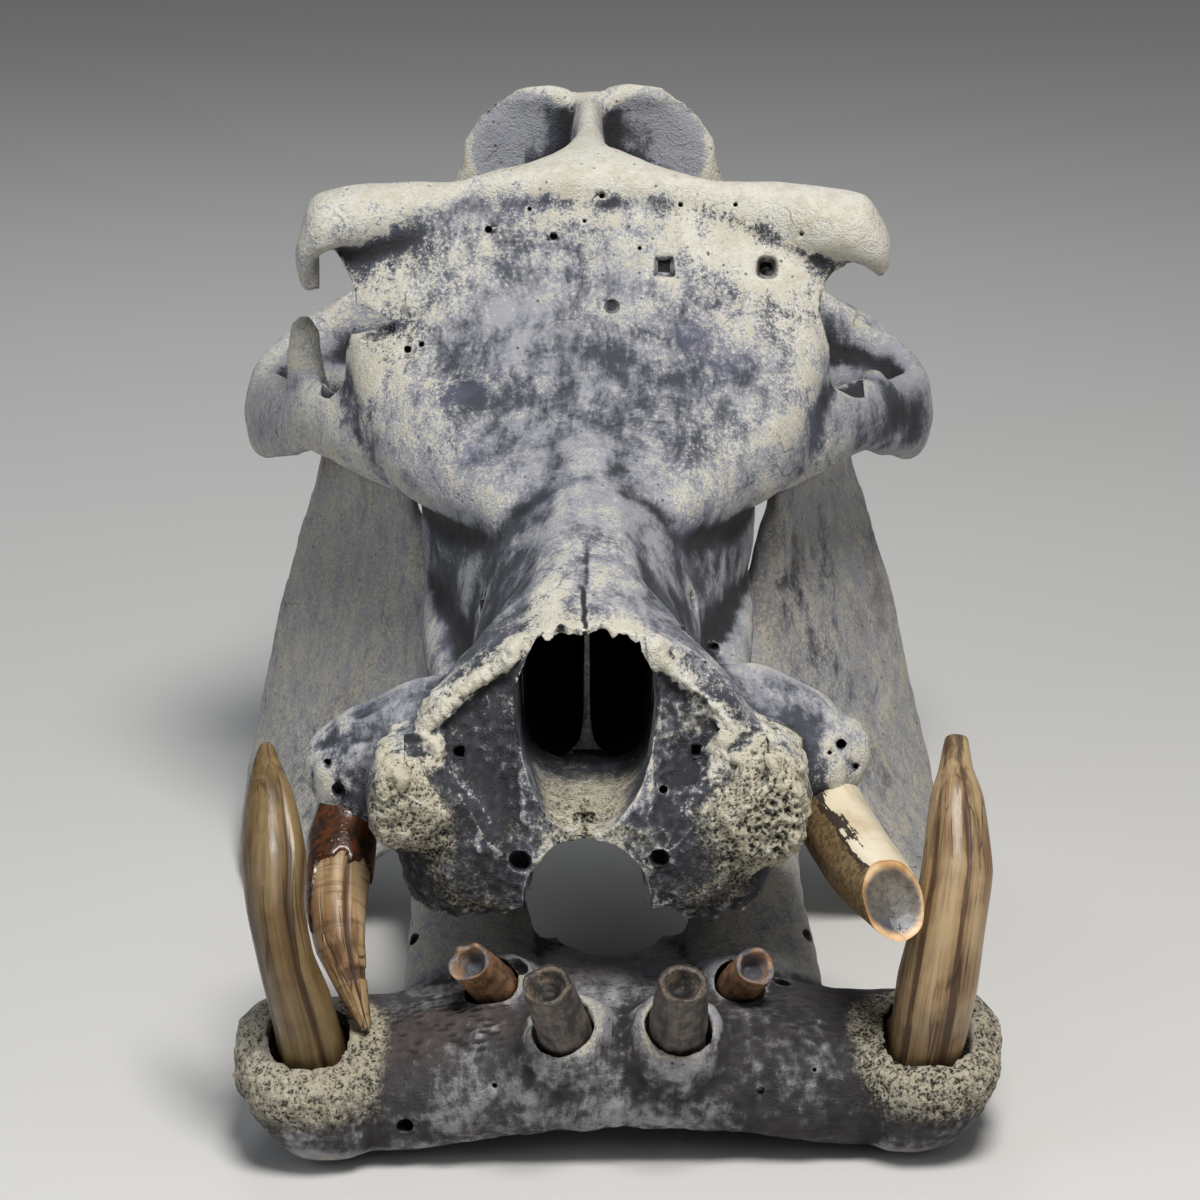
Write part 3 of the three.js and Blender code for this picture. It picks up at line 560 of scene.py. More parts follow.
# The crumbling ridges that run down from the nasals, past the nose opening, seen square from the front.
LEFT_RIDGE = [(x, 0, z) for x, z in (
    (-36, 130), (-44, 121), (-62, 109), (-77, 99), (-86, 91), (-77, 85), (-79, 78), (-88, 77), (-106, 84))]
RIGHT_RIDGE = [(x, 0, z) for x, z in (
    (34, 130), (39, 124), (48, 112), (63, 101), (73, 90), (67, 79), (81, 80), (95, 88), (108, 76),
    (112, 52), (104, 32), (84, 22))]
SQUARE_ON = (1, 0, 1)

# The mesh gets finer towards the broken front, in three steps.
x, y, z = spots_of(cranium.data).T
finer(cranium, (y < 112) & (np.abs(x) < 128), longest=2.7)
spots = spots_of(cranium.data)
x, y, z = spots.T
near_ridge = np.minimum(from_line(spots * SQUARE_ON, LEFT_RIDGE), from_line(spots * SQUARE_ON, RIGHT_RIDGE))
by_seam = (np.abs(x + 1) < 5) & (y < 190) & (z > 126)
by_nose = (y < 62) & ((near_ridge < 9) | (np.abs(np.abs(x) - 90) < 26) | (z < 40))
finer(cranium, by_seam | by_nose, longest=1.6)
x, y, z = spots_of(cranium.data).T
finer(cranium, (y < 40) & (np.abs(np.abs(x) - 92) < 24) & (np.abs(z - 58) < 32), longest=1.25)

# Slow waves all over, and the dished fronts of the crest's two lobes.
spots, facing = spots_of(cranium.data), facing_of(cranium.data)
x, y, z = spots.T
wave = rough(spots, 34, 0.5) * 1.6 + rough(spots, 13, 4.2) * 0.7
spots += facing * wave[:, None]
within = ((np.abs(x) - 40) / 34) ** 2 + ((z - 213) / 37) ** 2
dish = np.sqrt(np.clip(1 - within, 0, 1)) * (y > 590) * (facing[:, 1] < -0.3)
spots[:, 1] += dish * 6.5 * np.clip((252 - z) / 16, 0, 1)

# Hollows beside the nose, then its ridges, the knobs on the tusk processes and the coarse front.
for side in (-1, 1):
    for centre, radius, depth in (
        ((56, 42, 88), (15, 18, 24), 3), ((72, 22, 34), (24, 14, 4), 3), ((116, 84, 78), (14, 26, 10), 2)):
        spots -= facing * (blob(spots, (centre[0] * side, *centre[1:]), radius) * depth)[:, None]
ridge = np.zeros(len(spots))
for line in (LEFT_RIDGE, RIGHT_RIDGE):
    width = 4.6 + 3 * rough(spots, 12, 3)
    height = np.exp(-((from_line(spots * SQUARE_ON, line) / width) ** 2))
    ridge = np.maximum(ridge, height * np.clip((76 - y) / 8, 0, 1))
spots += facing * (ridge * (2.4 + 3.6 * rough(spots, 11, 7) + 1.5 * rough(spots, 3.4, 2)))[:, None]
face_side = np.clip((80 - y) / 30, 0, 1) * np.clip(-facing[:, 1] * 2, 0, 1)
low_edge = np.clip((8 - z) / 10, 0, 1) * (y < 60)
knobs = blob(np.abs(spots), (132, 92, 48), (24, 26, 30))
spots += facing * (knobs * (rough(spots, 17, 9) * 8 + rough(spots, 6, 4) * 2.6))[:, None]
crumbs = rough(spots, 4.5, 3) * 0.9 + rough(spots, 2.2, 1) * 0.5
spots += facing * (face_side * crumbs + low_edge * rough(spots, 8, 2) * 4)[:, None]

# Where the bone is broken open and spongy, and the seam between the nasals with the crack below it.
broken = sum(blob(spots, centre, radius) * amount for centre, radius, amount in (
    ((-94, 8, 62), (19, 18, 26), 1.3), ((-88, 10, 44), (18, 16, 16), 0.9), ((90, 8, 60), (26, 18, 30), 1.6),
    ((0, 34, 46), (34, 30, 8), 0.7), ((-60, 20, 10), (32, 22, 20), 0.45),
    ((60, 20, 10), (32, 22, 20), 0.45), ((-146, 86, 40), (8, 14, 16), 0.4),
    ((146, 86, 44), (8, 14, 16), 0.5)))
broken = broken * np.clip((64 - y) / 14, 0.25, 1) + ridge * 0.4
broken -= blob(spots, (0, 34, 46), (34, 30, 8)) * 0.25
honeycomb = blob(spots, (102, 8, 55), (17, 20, 32)) * 1.3
pit = crumbled(spots, facing, broken, seed=3.0, honeycomb=np.clip(honeycomb, 0.05, 1))
broken += blob(spots, (0, 62, 44), (36, 46, 12)) * 0.8
above, below = (z > 126) * np.clip((178 - y) / 40, 0, 1), (z < 48) * (z > 26) * (y < 60) * 1.4
seam = np.exp(-((x + 1 + rough(spots, 9, 5) * 1.6) ** 2)) * (above + below)
spots -= facing * (seam * 1.7)[:, None]
put_spots(cranium.data, spots)

# Where the cream crust lies, and where it has worn off. The negative amounts low on the front, over the lower
# middle and on the cheek arches thin the crust there as painted shade.
top = np.clip(facing[:, 2] * 1.4, 0, 1) * np.clip((z - 90) / 50, 0, 1)
crust = 0.02 + 0.1 * top + face_side * 0.55 + knobs * 0.2
for centre, radius, amount in (
    ((125, 440, 235), (56, 34, 36), 1.0), ((92, 428, 212), (36, 26, 22), 0.8),
    ((30, 446, 245), (80, 34, 30), 0.5), ((-125, 438, 232), (42, 30, 34), 0.2),
    ((0, 490, 255), (26, 60, 20), 0.5), ((-104, 420, 205), (44, 30, 26), 0.3),
    ((110, 396, 184), (34, 30, 24), 0.3), ((-112, 388, 160), (32, 30, 34), 0.4),
    ((-24, 76, 139), (8, 24, 12), 1.2), ((20, 70, 138), (16, 12, 12), 1.1),
    ((-14, 66, 138), (22, 8, 12), 0.9), ((-21, 104, 141), (9, 22, 10), 1.1),
    ((0, 180, 142), (22, 60, 20), 0.15), ((-195, 510, 80), (50, 80, 50), -0.3),
    ((185, 480, 85), (50, 100, 55), -0.7), ((-45, 385, 165), (40, 30, 36), -0.5),
    ((40, 366, 160), (50, 26, 30), -0.3), ((-64, 330, 140), (40, 30, 30), -0.2),
    ((0, 200, 142), (60, 120, 30), -0.12), ((0, 200, 60), (200, 130, 60), -0.3),
    ((0, 60, 20), (60, 30, 14), -0.2), ((0, 250, 145), (40, 120, 20), -0.2),
    ((62, 36, 92), (26, 30, 36), 0.4), ((-62, 20, 20), (36, 30, 26), -0.45),
    ((62, 20, 20), (36, 30, 26), -0.35), ((-132, 90, 50), (30, 30, 34), -0.25),
    ((0, 36, 60), (60, 16, 40), -0.35)):
    crust += blob(spots, centre, radius) * amount
rim_of_lobe = np.exp(-(((within - 1.2) / 0.16) ** 2)) * (y > 598)
crust += ridge * (1.3 + rough(spots, 7, 5) * 1.2) - dish * 1.2 + rim_of_lobe * 0.9
crust += 0.16 * blob(spots, (0, 110, 142), (34, 90, 16))
paint(cranium, "crust", np.minimum(crust, 0.85))
paint(cranium, "broken", broken)

# How dark the bone is, as painted shade and light: darker in pits and folds, low on the front, along the
# upright sides of the snout and on the right cheek arch, and lighter towards the back and on the crest lobes'
# dished fronts. The dark front beside the nose is partly the bone's own tone and partly painted shade.
painted_low_shade = sum(blob(spots, centre, radius) * amount for centre, radius, amount in (
    ((-62, 20, 18), (34, 30, 28), 0.6), ((62, 20, 18), (34, 30, 28), 0.55),
    ((-135, 90, 48), (34, 34, 38), 0.4), ((140, 90, 48), (34, 34, 38), 0.35),
    ((0, 40, 70), (52, 20, 34), 0.15), ((0, 250, 60), (90, 150, 60), 0.3)))
upright_side = np.clip(1 - np.abs(facing[:, 2]) * 2, 0, 1)
side_wall = upright_side * np.clip((y - 130) / 30, 0, 1) * np.clip((400 - y) / 40, 0, 1)
shade = face_side * 0.5 * np.clip((132 - z) / 10, 0, 1) * (1 - ridge) + side_wall * 0.3
shade += painted_low_shade - np.clip((y - 340) / 60, 0, 1) * 0.2 - dish * 0.9
for side, amount in ((1, 1.8), (-1, 0.3)):
    shade += blob(spots, (side * 180, 480, 90), (50, 100, 60)) * amount
shade += np.clip((270 - y) / 60, 0, 1) * np.clip((y - 110) / 30, 0, 1) * 0.25
# Painted shade: the bone's hollowness, its dark pores, the dark seam between the nasals and the shade set
# above.
paint(cranium, "shade_and_pits", hollowness(cranium) + pit + seam * 1.2 + shade)


class Wire:
    """A socket of a finish. Sums and products of wires make their own nodes."""

    def __init__(self, tree, socket=None):
        self.tree, self.socket = tree, socket

    def node(self, kind, settings, inputs, out=0):
        """A node of any kind: its settings first, then the values or wires of its sockets."""
        made = self.tree.nodes.new("ShaderNode" + kind)
        for key, value in settings.items():
            setattr(made, key, value)
        for key, value in inputs.items():
            if isinstance(value, Wire):
                self.tree.links.new(value.socket, made.inputs[key])
            else:
                made.inputs[key].default_value = value
        return Wire(self.tree, made.outputs[out])

    def math(self, operation, *others):
        return self.node("Math", {"operation": operation}, dict(enumerate((self, *others))))

    def __add__(self, other): return self.math("ADD", other)
    def __mul__(self, other): return self.math("MULTIPLY", other)
    def __sub__(self, other): return self.math("SUBTRACT", other)
    def __rsub__(self, other): return (self * -1.0) + other
    __radd__, __rmul__ = __add__, __mul__

    def place(self):
        """The place on the piece, in metres."""
        return self.node("TexCoord", {}, {}, out="Object")

    def kept(self, name, out="Fac"):
        """What the mesh keeps at each point under this name."""
        return self.node("Attribute", {"attribute_name": name}, {}, out=out)

    def axis(self, name):
        """One axis of a place."""
        return self.node("SeparateXYZ", {}, {0: self}, out=name)

    def bumps(self, strength, depth):
        """Relief whose height is this wire, `depth` metres deep where it is 1."""
        return self.node("Bump", {}, {"Strength": strength, "Distance": depth, "Height": self})

    def band(self, low, high):
        """0 below low, 1 above high, and a soft step between."""
        return self.node("MapRange", {"interpolation_type": "SMOOTHSTEP"}, {0: self, 1: low, 2: high})

    def tint(self, under, over):
        """The colour `over` laid on `under` as thickly as this wire says."""
        return self.node("Mix", {"data_type": "RGBA"}, {0: self, 6: under, 7: over}, out=2)

    def noise(self, size, detail=4.0, grit=0.6, stretch=None):
        """A noise of this size in metres at this wire's place."""
        place = self if stretch is None else self.node("Mapping", {}, {0: self, 3: stretch})
        sockets = {"Vector": place, "Scale": 1 / size, "Detail": detail, "Roughness": grit}
        return self.node("TexNoise", {}, sockets)

    def cells(self, size, feature="F1", stretch=None):
        """The distance to the nearest of many scattered points, this far apart in metres."""
        place = self if stretch is None else self.node("Mapping", {}, {0: self, 3: stretch})
        return self.node("TexVoronoi", {"feature": feature}, {"Vector": place, "Scale": 1 / size})

    def winding(self, scale, reach):
        """This place pushed about by a noise, so that what is laid out on it winds."""
        push = self.node("TexNoise", {}, {"Vector": self, "Scale": scale}, out=1)
        return self.node("VectorMath", {"operation": "MULTIPLY_ADD"}, {0: push, 1: reach, 2: self})


def finish(name):
    """A new finish: its start, its shader and a way to feed one of the shader's sockets."""
    made = bpy.data.materials.new(name)
    made.use_nodes = True
    shader = made.node_tree.nodes["Principled BSDF"]

    def feed(**wires):
        for key, wire in wires.items():
            made.node_tree.links.new(wire.socket, shader.inputs[key.replace("_", " ").title()])
    return made, Wire(made.node_tree), shader, feed


def bone_finish(name, shade_pit_and_crack_colour, slate, pale, cream, yellow, wash, streaks=0.0):
    """Mineralised bone: blue-grey, mottled, speckled with cream crust, dark in pits, yellow where it broke.
    The mesh's shade number paints shade and light on it: where the number is high it darkens the tone, thins
    the crust and blends towards the dark colour, and where it is below 0 it lifts the tone.
    streaks draws the mottling out upwards on the high parts."""
    made, start, shader, feed = finish(name)
    place = start.place()
    crust, broken, shade_and_pits = start.kept("crust"), start.kept("broken"), start.kept("shade_and_pits")
    clouds = place.noise(0.085, 2.0, 0.6)
    mottle = place.noise(0.019, 3.5, 0.65)
    if streaks:
        high = place.axis("Z").band(0.1, 0.14) * streaks
        mottle = mottle * (1 - high) + place.noise(0.011, 4.0, 0.62, stretch=(1, 0.7, 0.09)) * high
    grain = place.noise(0.0052, 3.0, 0.75)
    speck = place.noise(0.0022, 3.0, 0.8)
    fleck = place.noise(0.0013, 2.0, 0.8)
    fibre = place.winding(13.0, (0.045, 0.03, 0.03)).noise(0.0062, 3.0, 0.72, stretch=(1, 0.22, 0.3))
    # Painted shade and light: the shade number darkens the tone where it is high and lifts it where it is
    # below 0.
    tone = clouds + mottle * 0.7 + grain * 0.5 + speck * 0.4 + fibre * 0.7 - shade_and_pits * 0.35 - 1.15
    colour = tone.band(0.27, 0.74).tint(slate, pale)
    violet = place.noise(0.05, 3.0, 0.5, stretch=(1, 1.4, 1)).band(0.54, 0.68)
    colour = (violet * 0.35).tint(colour, wash)
    laid = (speck * 0.95 + fleck * 0.5 + grain * 0.65 + fibre * 0.5 + mottle * 0.6 + crust * 0.42
            - shade_and_pits * 0.3 - 1.69).band(0.0, 0.34)
    dull = (mottle * 0.5 + grain * 0.5).band(0.44, 0.6) * 0.6
    colour = (laid * 0.92).tint(colour, dull.tint(cream, yellow))
    # Painted shade: the bone blends towards the dark colour where the shade number is high.
    colour = (shade_and_pits.band(0.12, 1.1) * 0.85).tint(colour, shade_pit_and_crack_colour)
    crumb = (place.cells(0.0019) * 0.8 + fleck * 1.1 + speck * 0.6 - shade_and_pits * 0.3 - 0.8).band(-0.1, 0.5)
    sponge = (broken + mottle * 0.7 + grain * 0.7 - 0.9).band(-0.05, 0.5)
    spongy = crumb.tint(shade_pit_and_crack_colour, grain.band(0.48, 0.72).tint(yellow, cream))
    colour = (sponge * 0.82).tint(colour, spongy)
    pit = (1 - place.cells(0.0085).band(0.07, 0.15)) * clouds.band(0.48, 0.56)
    colour = (pit * 0.75).tint(colour, shade_pit_and_crack_colour)
    bent = place.winding(38.0, (0.03, 0.03, 0.03))
    crack = 1 - bent.cells(0.075, "DISTANCE_TO_EDGE").band(0.001, 0.011)
    crack = crack * place.noise(0.03, 2.0).band(0.52, 0.6)
    colour = (crack * 0.5).tint(colour, shade_pit_and_crack_colour)
    height = mottle * 0.6 + grain * 0.9 + fleck * 0.5
    feed(base_color=colour, roughness=0.84 - laid * 0.06, normal=height.bumps(strength=0.8, depth=0.0022))
    return made


cranium.data.materials.clear()
cranium.data.materials.append(bone_finish(
    "fossil_bone", shade_pit_and_crack_colour=(0.012, 0.012, 0.012, 1), slate=(0.05, 0.055, 0.072, 1),
    pale=(0.33, 0.337, 0.37, 1), cream=(0.68, 0.655, 0.57, 1), yellow=(0.5, 0.45, 0.32, 1),
    wash=(0.15, 0.15, 0.22, 1)))
cranium.data.transform(SKULL_FRAME)
smooth(cranium)
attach(cranium, "root")
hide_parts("cranium")

# ---- the lower jaw --------------------------------------------------------------------------------------
# One bone: a broad front bar with a lobe round each lower tusk's root, two level bodies that carry the cheek
# teeth, and two upright blades that flare out to hooked angles behind. It stands on the lobes and the hooks.

JAW_FRAME = (Matrix.Scale(0.001, 4) @ UNDER_MIDDLE @ Matrix.Translation((0, 560, 0))
             @ Matrix.Rotation(math.radians(1.9), 4, "Z") @ Matrix.Translation((0, -560, 0)))
FRONT_BAR = [sideways(x, y, z, depth, height, n) for x, y, z, depth, height, n in (
    (-201, 64, 46, 22, 16, 2.3), (-186, 62, 42, 44, 32, 2.3), (-158, 63, 35, 55, 36.5, 2.1),
    (-120, 64, 35, 59, 36.5, 2.2), (-70, 66, 43, 62, 34, 2.8), (0, 68, 47, 64, 31, 3.4),
    (70, 66, 43, 62, 34, 2.8), (120, 64, 35, 59, 36.5, 2.2), (158, 63, 35, 55, 36.5, 2.1),
    (186, 62, 42, 44, 32, 2.3), (201, 64, 46, 22, 16, 2.3))]
CHIN = [
    upright(70, 112, 76, 10, n=2.8), upright(110, 112, 73, 14, n=2.8), upright(150, 110, 67, 18, n=2.8),
    upright(196, 104, 62, 24, n=2.8)]
BODY = [
    upright(100, 40, 72, 14, x=74, n=2.8), upright(150, 38, 80, 18, x=76, n=2.8),
    upright(200, 33, 98, 22, x=77, n=2.8), upright(270, 31, 110, 26, x=79, n=2.8),
    upright(340, 32, 120, 30, x=84, n=2.8), upright(410, 30, 130, 36, x=92, n=2.6),
    upright(455, 24, 134, 50, x=104), upright(495, 9, 122, 76, x=124)]
BLADE = [level(z, front, back, thick) for z, front, back, thick in (
    (-3, (198, 398), (207, 460), 7), (12, (186, 380), (211, 505), 13), (38, (150, 358), (210, 545), 16),
    (72, (106, 344), (204, 570), 17), (112, (85, 364), (196, 584), 16), (152, (86, 394), (187, 592), 14),
    (192, (91, 420), (175, 596), 12), (226, (101, 440), (165, 602), 11), (246, (116, 466), (160, 606), 11))]
JAW_CONDYLE = [sideways(x, 590, z, depth, height) for x, z, depth, height in (
    (110, 262, 9, 8), (126, 261, 17, 15), (168, 260, 18, 16), (190, 258, 9, 9))]
HORN = [
    level(200, (105, 434), (126, 520), 9), level(246, (109, 452), (124, 514), 8),
    level(284, (112, 474), (122, 516), 7), level(312, (114, 498), (120, 528), 5)]
GAP = [
    level(-20, (0, 162), (0, 460), 35, n=2.4), level(40, (0, 157), (0, 470), 36, n=2.4),
    level(75, (0, 144), (0, 480), 40, n=2.4), level(150, (0, 128), (0, 500), 46, n=2.4)]
CUP = [
    level(6, (150, 12), (152, 66), 24), level(24, (156, -4), (157, 80), 33),
    level(42, (160, -10), (160, 82), 37), level(54, (162, -8), (162, 78), 35),
    level(60, (163, 0), (163, 70), 29)]
LOWER_TUSKS = {
    "lower_canine_left": [
        [-148, 92, 28, 15, 20], [-156, 62, 42, 16, 22], [-161, 41, 58, 17, 24], [-166, 29, 87, 16, 24],
        [-173, 27, 112, 14.5, 24], [-178, 33, 138, 15, 23], [-179, 46, 162, 17, 21],
        [-181, 64, 187, 13, 15], [-183, 78, 203, 7, 8], [-183, 84, 209, 4, 5]],
    "lower_canine_right": [
        [143, 88, 30, 16, 20], [153, 58, 44, 17, 23], [160, 34, 62, 19, 26], [164, 22, 97, 20.5, 27],
        [169.5, 26, 126, 19, 26], [175, 38, 154, 18.5, 24], [176, 56, 186, 14, 19], [176, 66, 199, 9, 13],
        [177, 76, 212, 6, 8]]}
INCISORS = {
    "lower_incisor_1_left": [[-19, 46, 38, 12, 12], [-29, 13, 76, 14, 14], [-39, -19, 114, 12.5, 12.5]],
    "lower_incisor_1_right": [[28, 44, 38, 13, 13], [29, 12, 76, 15, 15], [30, -19, 114, 12.5, 12.5]],
    "lower_incisor_2_left": [[-55, 98, 56, 10, 10], [-66, 70, 81, 12, 12], [-78, 44, 103, 11, 11]],
    "lower_incisor_2_right": [[58, 98, 56, 10, 10], [64.5, 70, 79, 11, 11], [71, 44, 99, 10.5, 10.5]]}


def socket(path, mouth, flare):
    """The hole a tooth stands in: the tooth's own shape, opened out from its floor to its mouth."""
    return along_path([[x, y, z, w + 0.4 + flare * min(i / mouth, 1), d + 0.4 + flare * min(i / mouth, 1)]
                       for i, (x, y, z, w, d) in enumerate(path)])


def collar(path, reach, thick):
    """The raised bone round a tooth where it leaves the jaw."""
    middle, way = Vector(path[1][:3]), (Vector(path[2][:3]) - Vector(path[1][:3])).normalized()
    return along_path([[*(middle + way * step), path[1][3] + wall, path[1][3] + wall] for step, wall in (
        (reach - 38, thick + 7), (reach - 20, thick + 4), (reach - 9, thick + 1), (reach - 4, thick - 4))])


collars = [collar(path, *((11, 7) if "_1_" in name else (6, 6))) for name, path in INCISORS.items()]
paired = (BODY, BLADE, JAW_CONDYLE, HORN, CUP)
single = (FRONT_BAR, CHIN, *collars)
jaw = gathered("jaw_bone", [skin(rings) for rings in (*single, *paired, *map(other_side, paired))])
fused(jaw, grain=4.0)
worn(jaw, rounds=12)
tusk_sockets = [skin(socket(path, mouth=2, flare=4), sides=48) for path in LOWER_TUSKS.values()]
incisor_sockets = [skin(socket(path, mouth=1, flare=2.6), sides=40) for path in INCISORS.values()]
carved(jaw, [skin(GAP, steps=6, sides=48)], tusk_sockets, incisor_sockets)
bpy.context.view_layer.update()

# Small holes for nerves and vessels in the front bar.
carved(jaw, [hole(jaw, *spec) for spec in (
    ((-104, 172, 66), (0.3, 0.8, -0.5), 3.4, 16), ((104, 172, 66), (-0.3, 0.8, -0.5), 3.4, 16),
    ((-112, 9, 28), (0.2, 1, 0.1), 3.6, 12), ((-66, 5, 50), (0, 1, -0.1), 1.5, 8),
    ((72, 5, 46), (0, 1, -0.1), 1.5, 8), ((-52, 84, 76), (0, 0.6, -0.8), 6, 10),
    ((88, 84, 78), (0, 0.6, -0.8), 5, 10), ((100, 20, 52), (0, 1, -0.3), 1.6, 8))])

# The mesh gets finer along the front bar, and again round the two cups.
x, y, z = spots_of(jaw.data).T
finer(jaw, (y < 96) & (z > 16), longest=2.6)
x, y, z = spots_of(jaw.data).T
finer(jaw, (np.abs(np.abs(x) - 160) < 54) & (y < 74) & (z > 26), longest=1.7)

# Slow waves all over, except where it stands, and a coarser skin low on the front.
spots, facing = spots_of(jaw.data), facing_of(jaw.data)
x, y, z = spots.T
wave = rough(spots, 30, 2.5) * 1.4 + rough(spots, 11, 8.2) * 0.6
spots += facing * (wave * np.clip((z - 2) / 6, 0, 1))[:, None]
spots[:, 2] = np.maximum(spots[:, 2], 0)
low_front = np.clip((60 - y) / 30, 0, 1) * np.clip((z - 4) / 8, 0, 1)
spots += facing * (low_front * (rough(spots, 18, 6) * 1.6 + rough(spots, 5, 3) * 0.7))[:, None]

# Worm-like pits on top of the bar, and the crumbled rims of the two cups.
pitted = blob(spots, (-84, 44, 72), (34, 30, 14)) + blob(spots, (96, 50, 74), (24, 24, 12)) * 0.6
worm = np.zeros(len(spots))
for i in np.flatnonzero(pitted > 0.2):
    cell = noise.voronoi(Vector((spots[i, 0] / 9, spots[i, 1] / 4, spots[i, 2] / 5)))[0]
    worm[i] = max(0, 1 - cell[0] / 0.42) * min(1, pitted[i] * 1.4)
spots -= facing * (worm * 3)[:, None]
broken, rim_crust = np.zeros(len(spots)), np.zeros(len(spots))
for side in (-1, 1):
    rim = np.abs(np.hypot(x - side * 163, (y - 36) * 0.8) - 31)
    broken += np.exp(-((rim / 12) ** 2)) * np.clip((z - 24) / 20, 0, 1) * (y < 84) * 0.95
    rim_crust += np.exp(-((rim / 15) ** 2)) * (z > 24) * (y < 86) * 0.5
pit = crumbled(spots, facing, broken, seed=9.0, honeycomb=np.full(len(spots), 0.2))
put_spots(jaw.data, spots)

# Where the crust lies, and painted shade and light: the front darker and with thinner crust, the upright
# blades and the bone behind the front lighter, and pits and folds darker.
blades = np.clip((z - 100) / 30, 0, 1)
front = np.clip((120 - y) / 50, 0, 1) * (1 - blades)
crust = -0.1 - 0.12 * blades + rim_crust
crust += blob(spots, (-12, 10, 62), (70, 30, 16)) * 0.25 + blob(spots, (40, 0, 48), (30, 20, 14)) * 0.3
paint(jaw, "crust", crust - front * (0.2 - 0.2 * np.exp(-((x / 80) ** 2))))
paint(jaw, "broken", broken)
shade = front * (np.where(x < 0, 0.4, 0.7) - 0.25 * np.exp(-((x / 70) ** 2)))
shade -= blades * np.where(x < 0, 1.4, 0.75) + 0.8 * np.clip((y - 90) / 40, 0, 1) * (1 - blades)
shade += 0.1 * low_front + 0.2 * np.clip(pitted, 0, 1)
# Painted shade: the bone's hollowness, its pores and worm pits, and the shade and light set above.
paint(jaw, "shade_and_pits", hollowness(jaw) + pit + worm + shade)
jaw.data.materials.clear()
jaw.data.materials.append(bone_finish(
    "jaw_bone", shade_pit_and_crack_colour=(0.012, 0.011, 0.011, 1), slate=(0.05, 0.045, 0.047, 1), pale=(0.3, 0.3, 0.32, 1),
    cream=(0.52, 0.49, 0.4, 1), yellow=(0.48, 0.43, 0.31, 1), wash=(0.13, 0.085, 0.075, 1), streaks=1.0))
jaw.data.transform(JAW_FRAME)
smooth(jaw)
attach(jaw, "root")
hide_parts("lower_jaw")

# ---- the cheek teeth ------------------------------------------------------------------------------------
# Six worn, stained teeth in each row, growing longer towards the back. Each crown is a block with rounded
# lobes that draws in at its biting face.

BITE = math.tan(math.radians(8))


def cheek_row(side, crown_z, root_z, slope):
    """One row as skins, from the front tooth to the last."""
    skins, start, out = [], 178, side * 68
    for length, half in ((30, 13), (34, 16), (36, 19), (44, 22), (52, 24), (56, 24)):
        middle, reach = start + length / 2, length / 2 - 1.2
        start += length
        rings = []
        for share, swell in ((0, 0.82), (0.4, 0.94), (0.75, 1), (0.93, 0.95), (1, 0.8)):
            z = root_z + (crown_z - root_z) * share + slope * middle
            rings.append(ring((out, middle, z), (half * swell, 0, 0),
                              (0, reach * swell, reach * slope * swell), 3))
        bm = skin(rings, steps=3, sides=40)
        for vert in bm.verts:
            turn = math.atan2(vert.co.y - middle, (vert.co.x - out) * reach / half)
            lobes = 1 - 0.09 * (1 - abs(math.sin(2 * turn))) ** 3
            vert.co.x = out + (vert.co.x - out) * lobes
            vert.co.y = middle + (vert.co.y - middle) * lobes
        skins.append(bm)
    return skins


def tooth_finish(name, ivory, stain, crack_colour):
    """Old tooth: ivory under brown stain, with long cracks and grooves along it."""
    made, start, shader, feed = finish(name)
    place = start.place()
    clouds = place.noise(0.02, 5.0, 0.6)
    grain = place.noise(0.003, 5.0, 0.7, stretch=(1, 1, 0.3))
    colour = (clouds * 0.8 + grain * 0.5 - 0.2).band(0.3, 0.65).tint(ivory, stain)
    crack = 1 - place.cells(0.012, "DISTANCE_TO_EDGE", (1, 1, 0.3)).band(0.01, 0.05)
    colour = (crack * 0.6 * clouds.band(0.4, 0.6)).tint(colour, crack_colour)
    height = grain - crack * 0.5
    feed(base_color=colour, roughness=0.35 + grain * 0.3, normal=height.bumps(strength=0.4, depth=0.001))
    return made


for name, cad, frame_of_bone, rows in (
    ("upper_cheek_teeth", "cranium", SKULL_FRAME, dict(crown_z=-26, root_z=14, slope=0.0)),
    ("lower_cheek_teeth", "lower_jaw", JAW_FRAME, dict(crown_z=92.3, root_z=54, slope=BITE))):
    teeth = gathered(name, [bm for side in (-1, 1) for bm in cheek_row(side, **rows)])
    teeth.data.transform(frame_of_bone)
    teeth.data.materials.append(tooth_finish(
        name, ivory=(0.34, 0.27, 0.17, 1), stain=(0.07, 0.05, 0.035, 1),
        crack_colour=(0.02, 0.014, 0.01, 1)))
    smooth(teeth)
    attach(teeth, "root")
    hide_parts(cad)

# ---- the lower tusks ------------------------------------------------------------------------------------
# Curved canines with a ridge in front, a groove beside it and a flange behind. Ivory, stained brown along
# its grooves. Each stands loose in its socket.

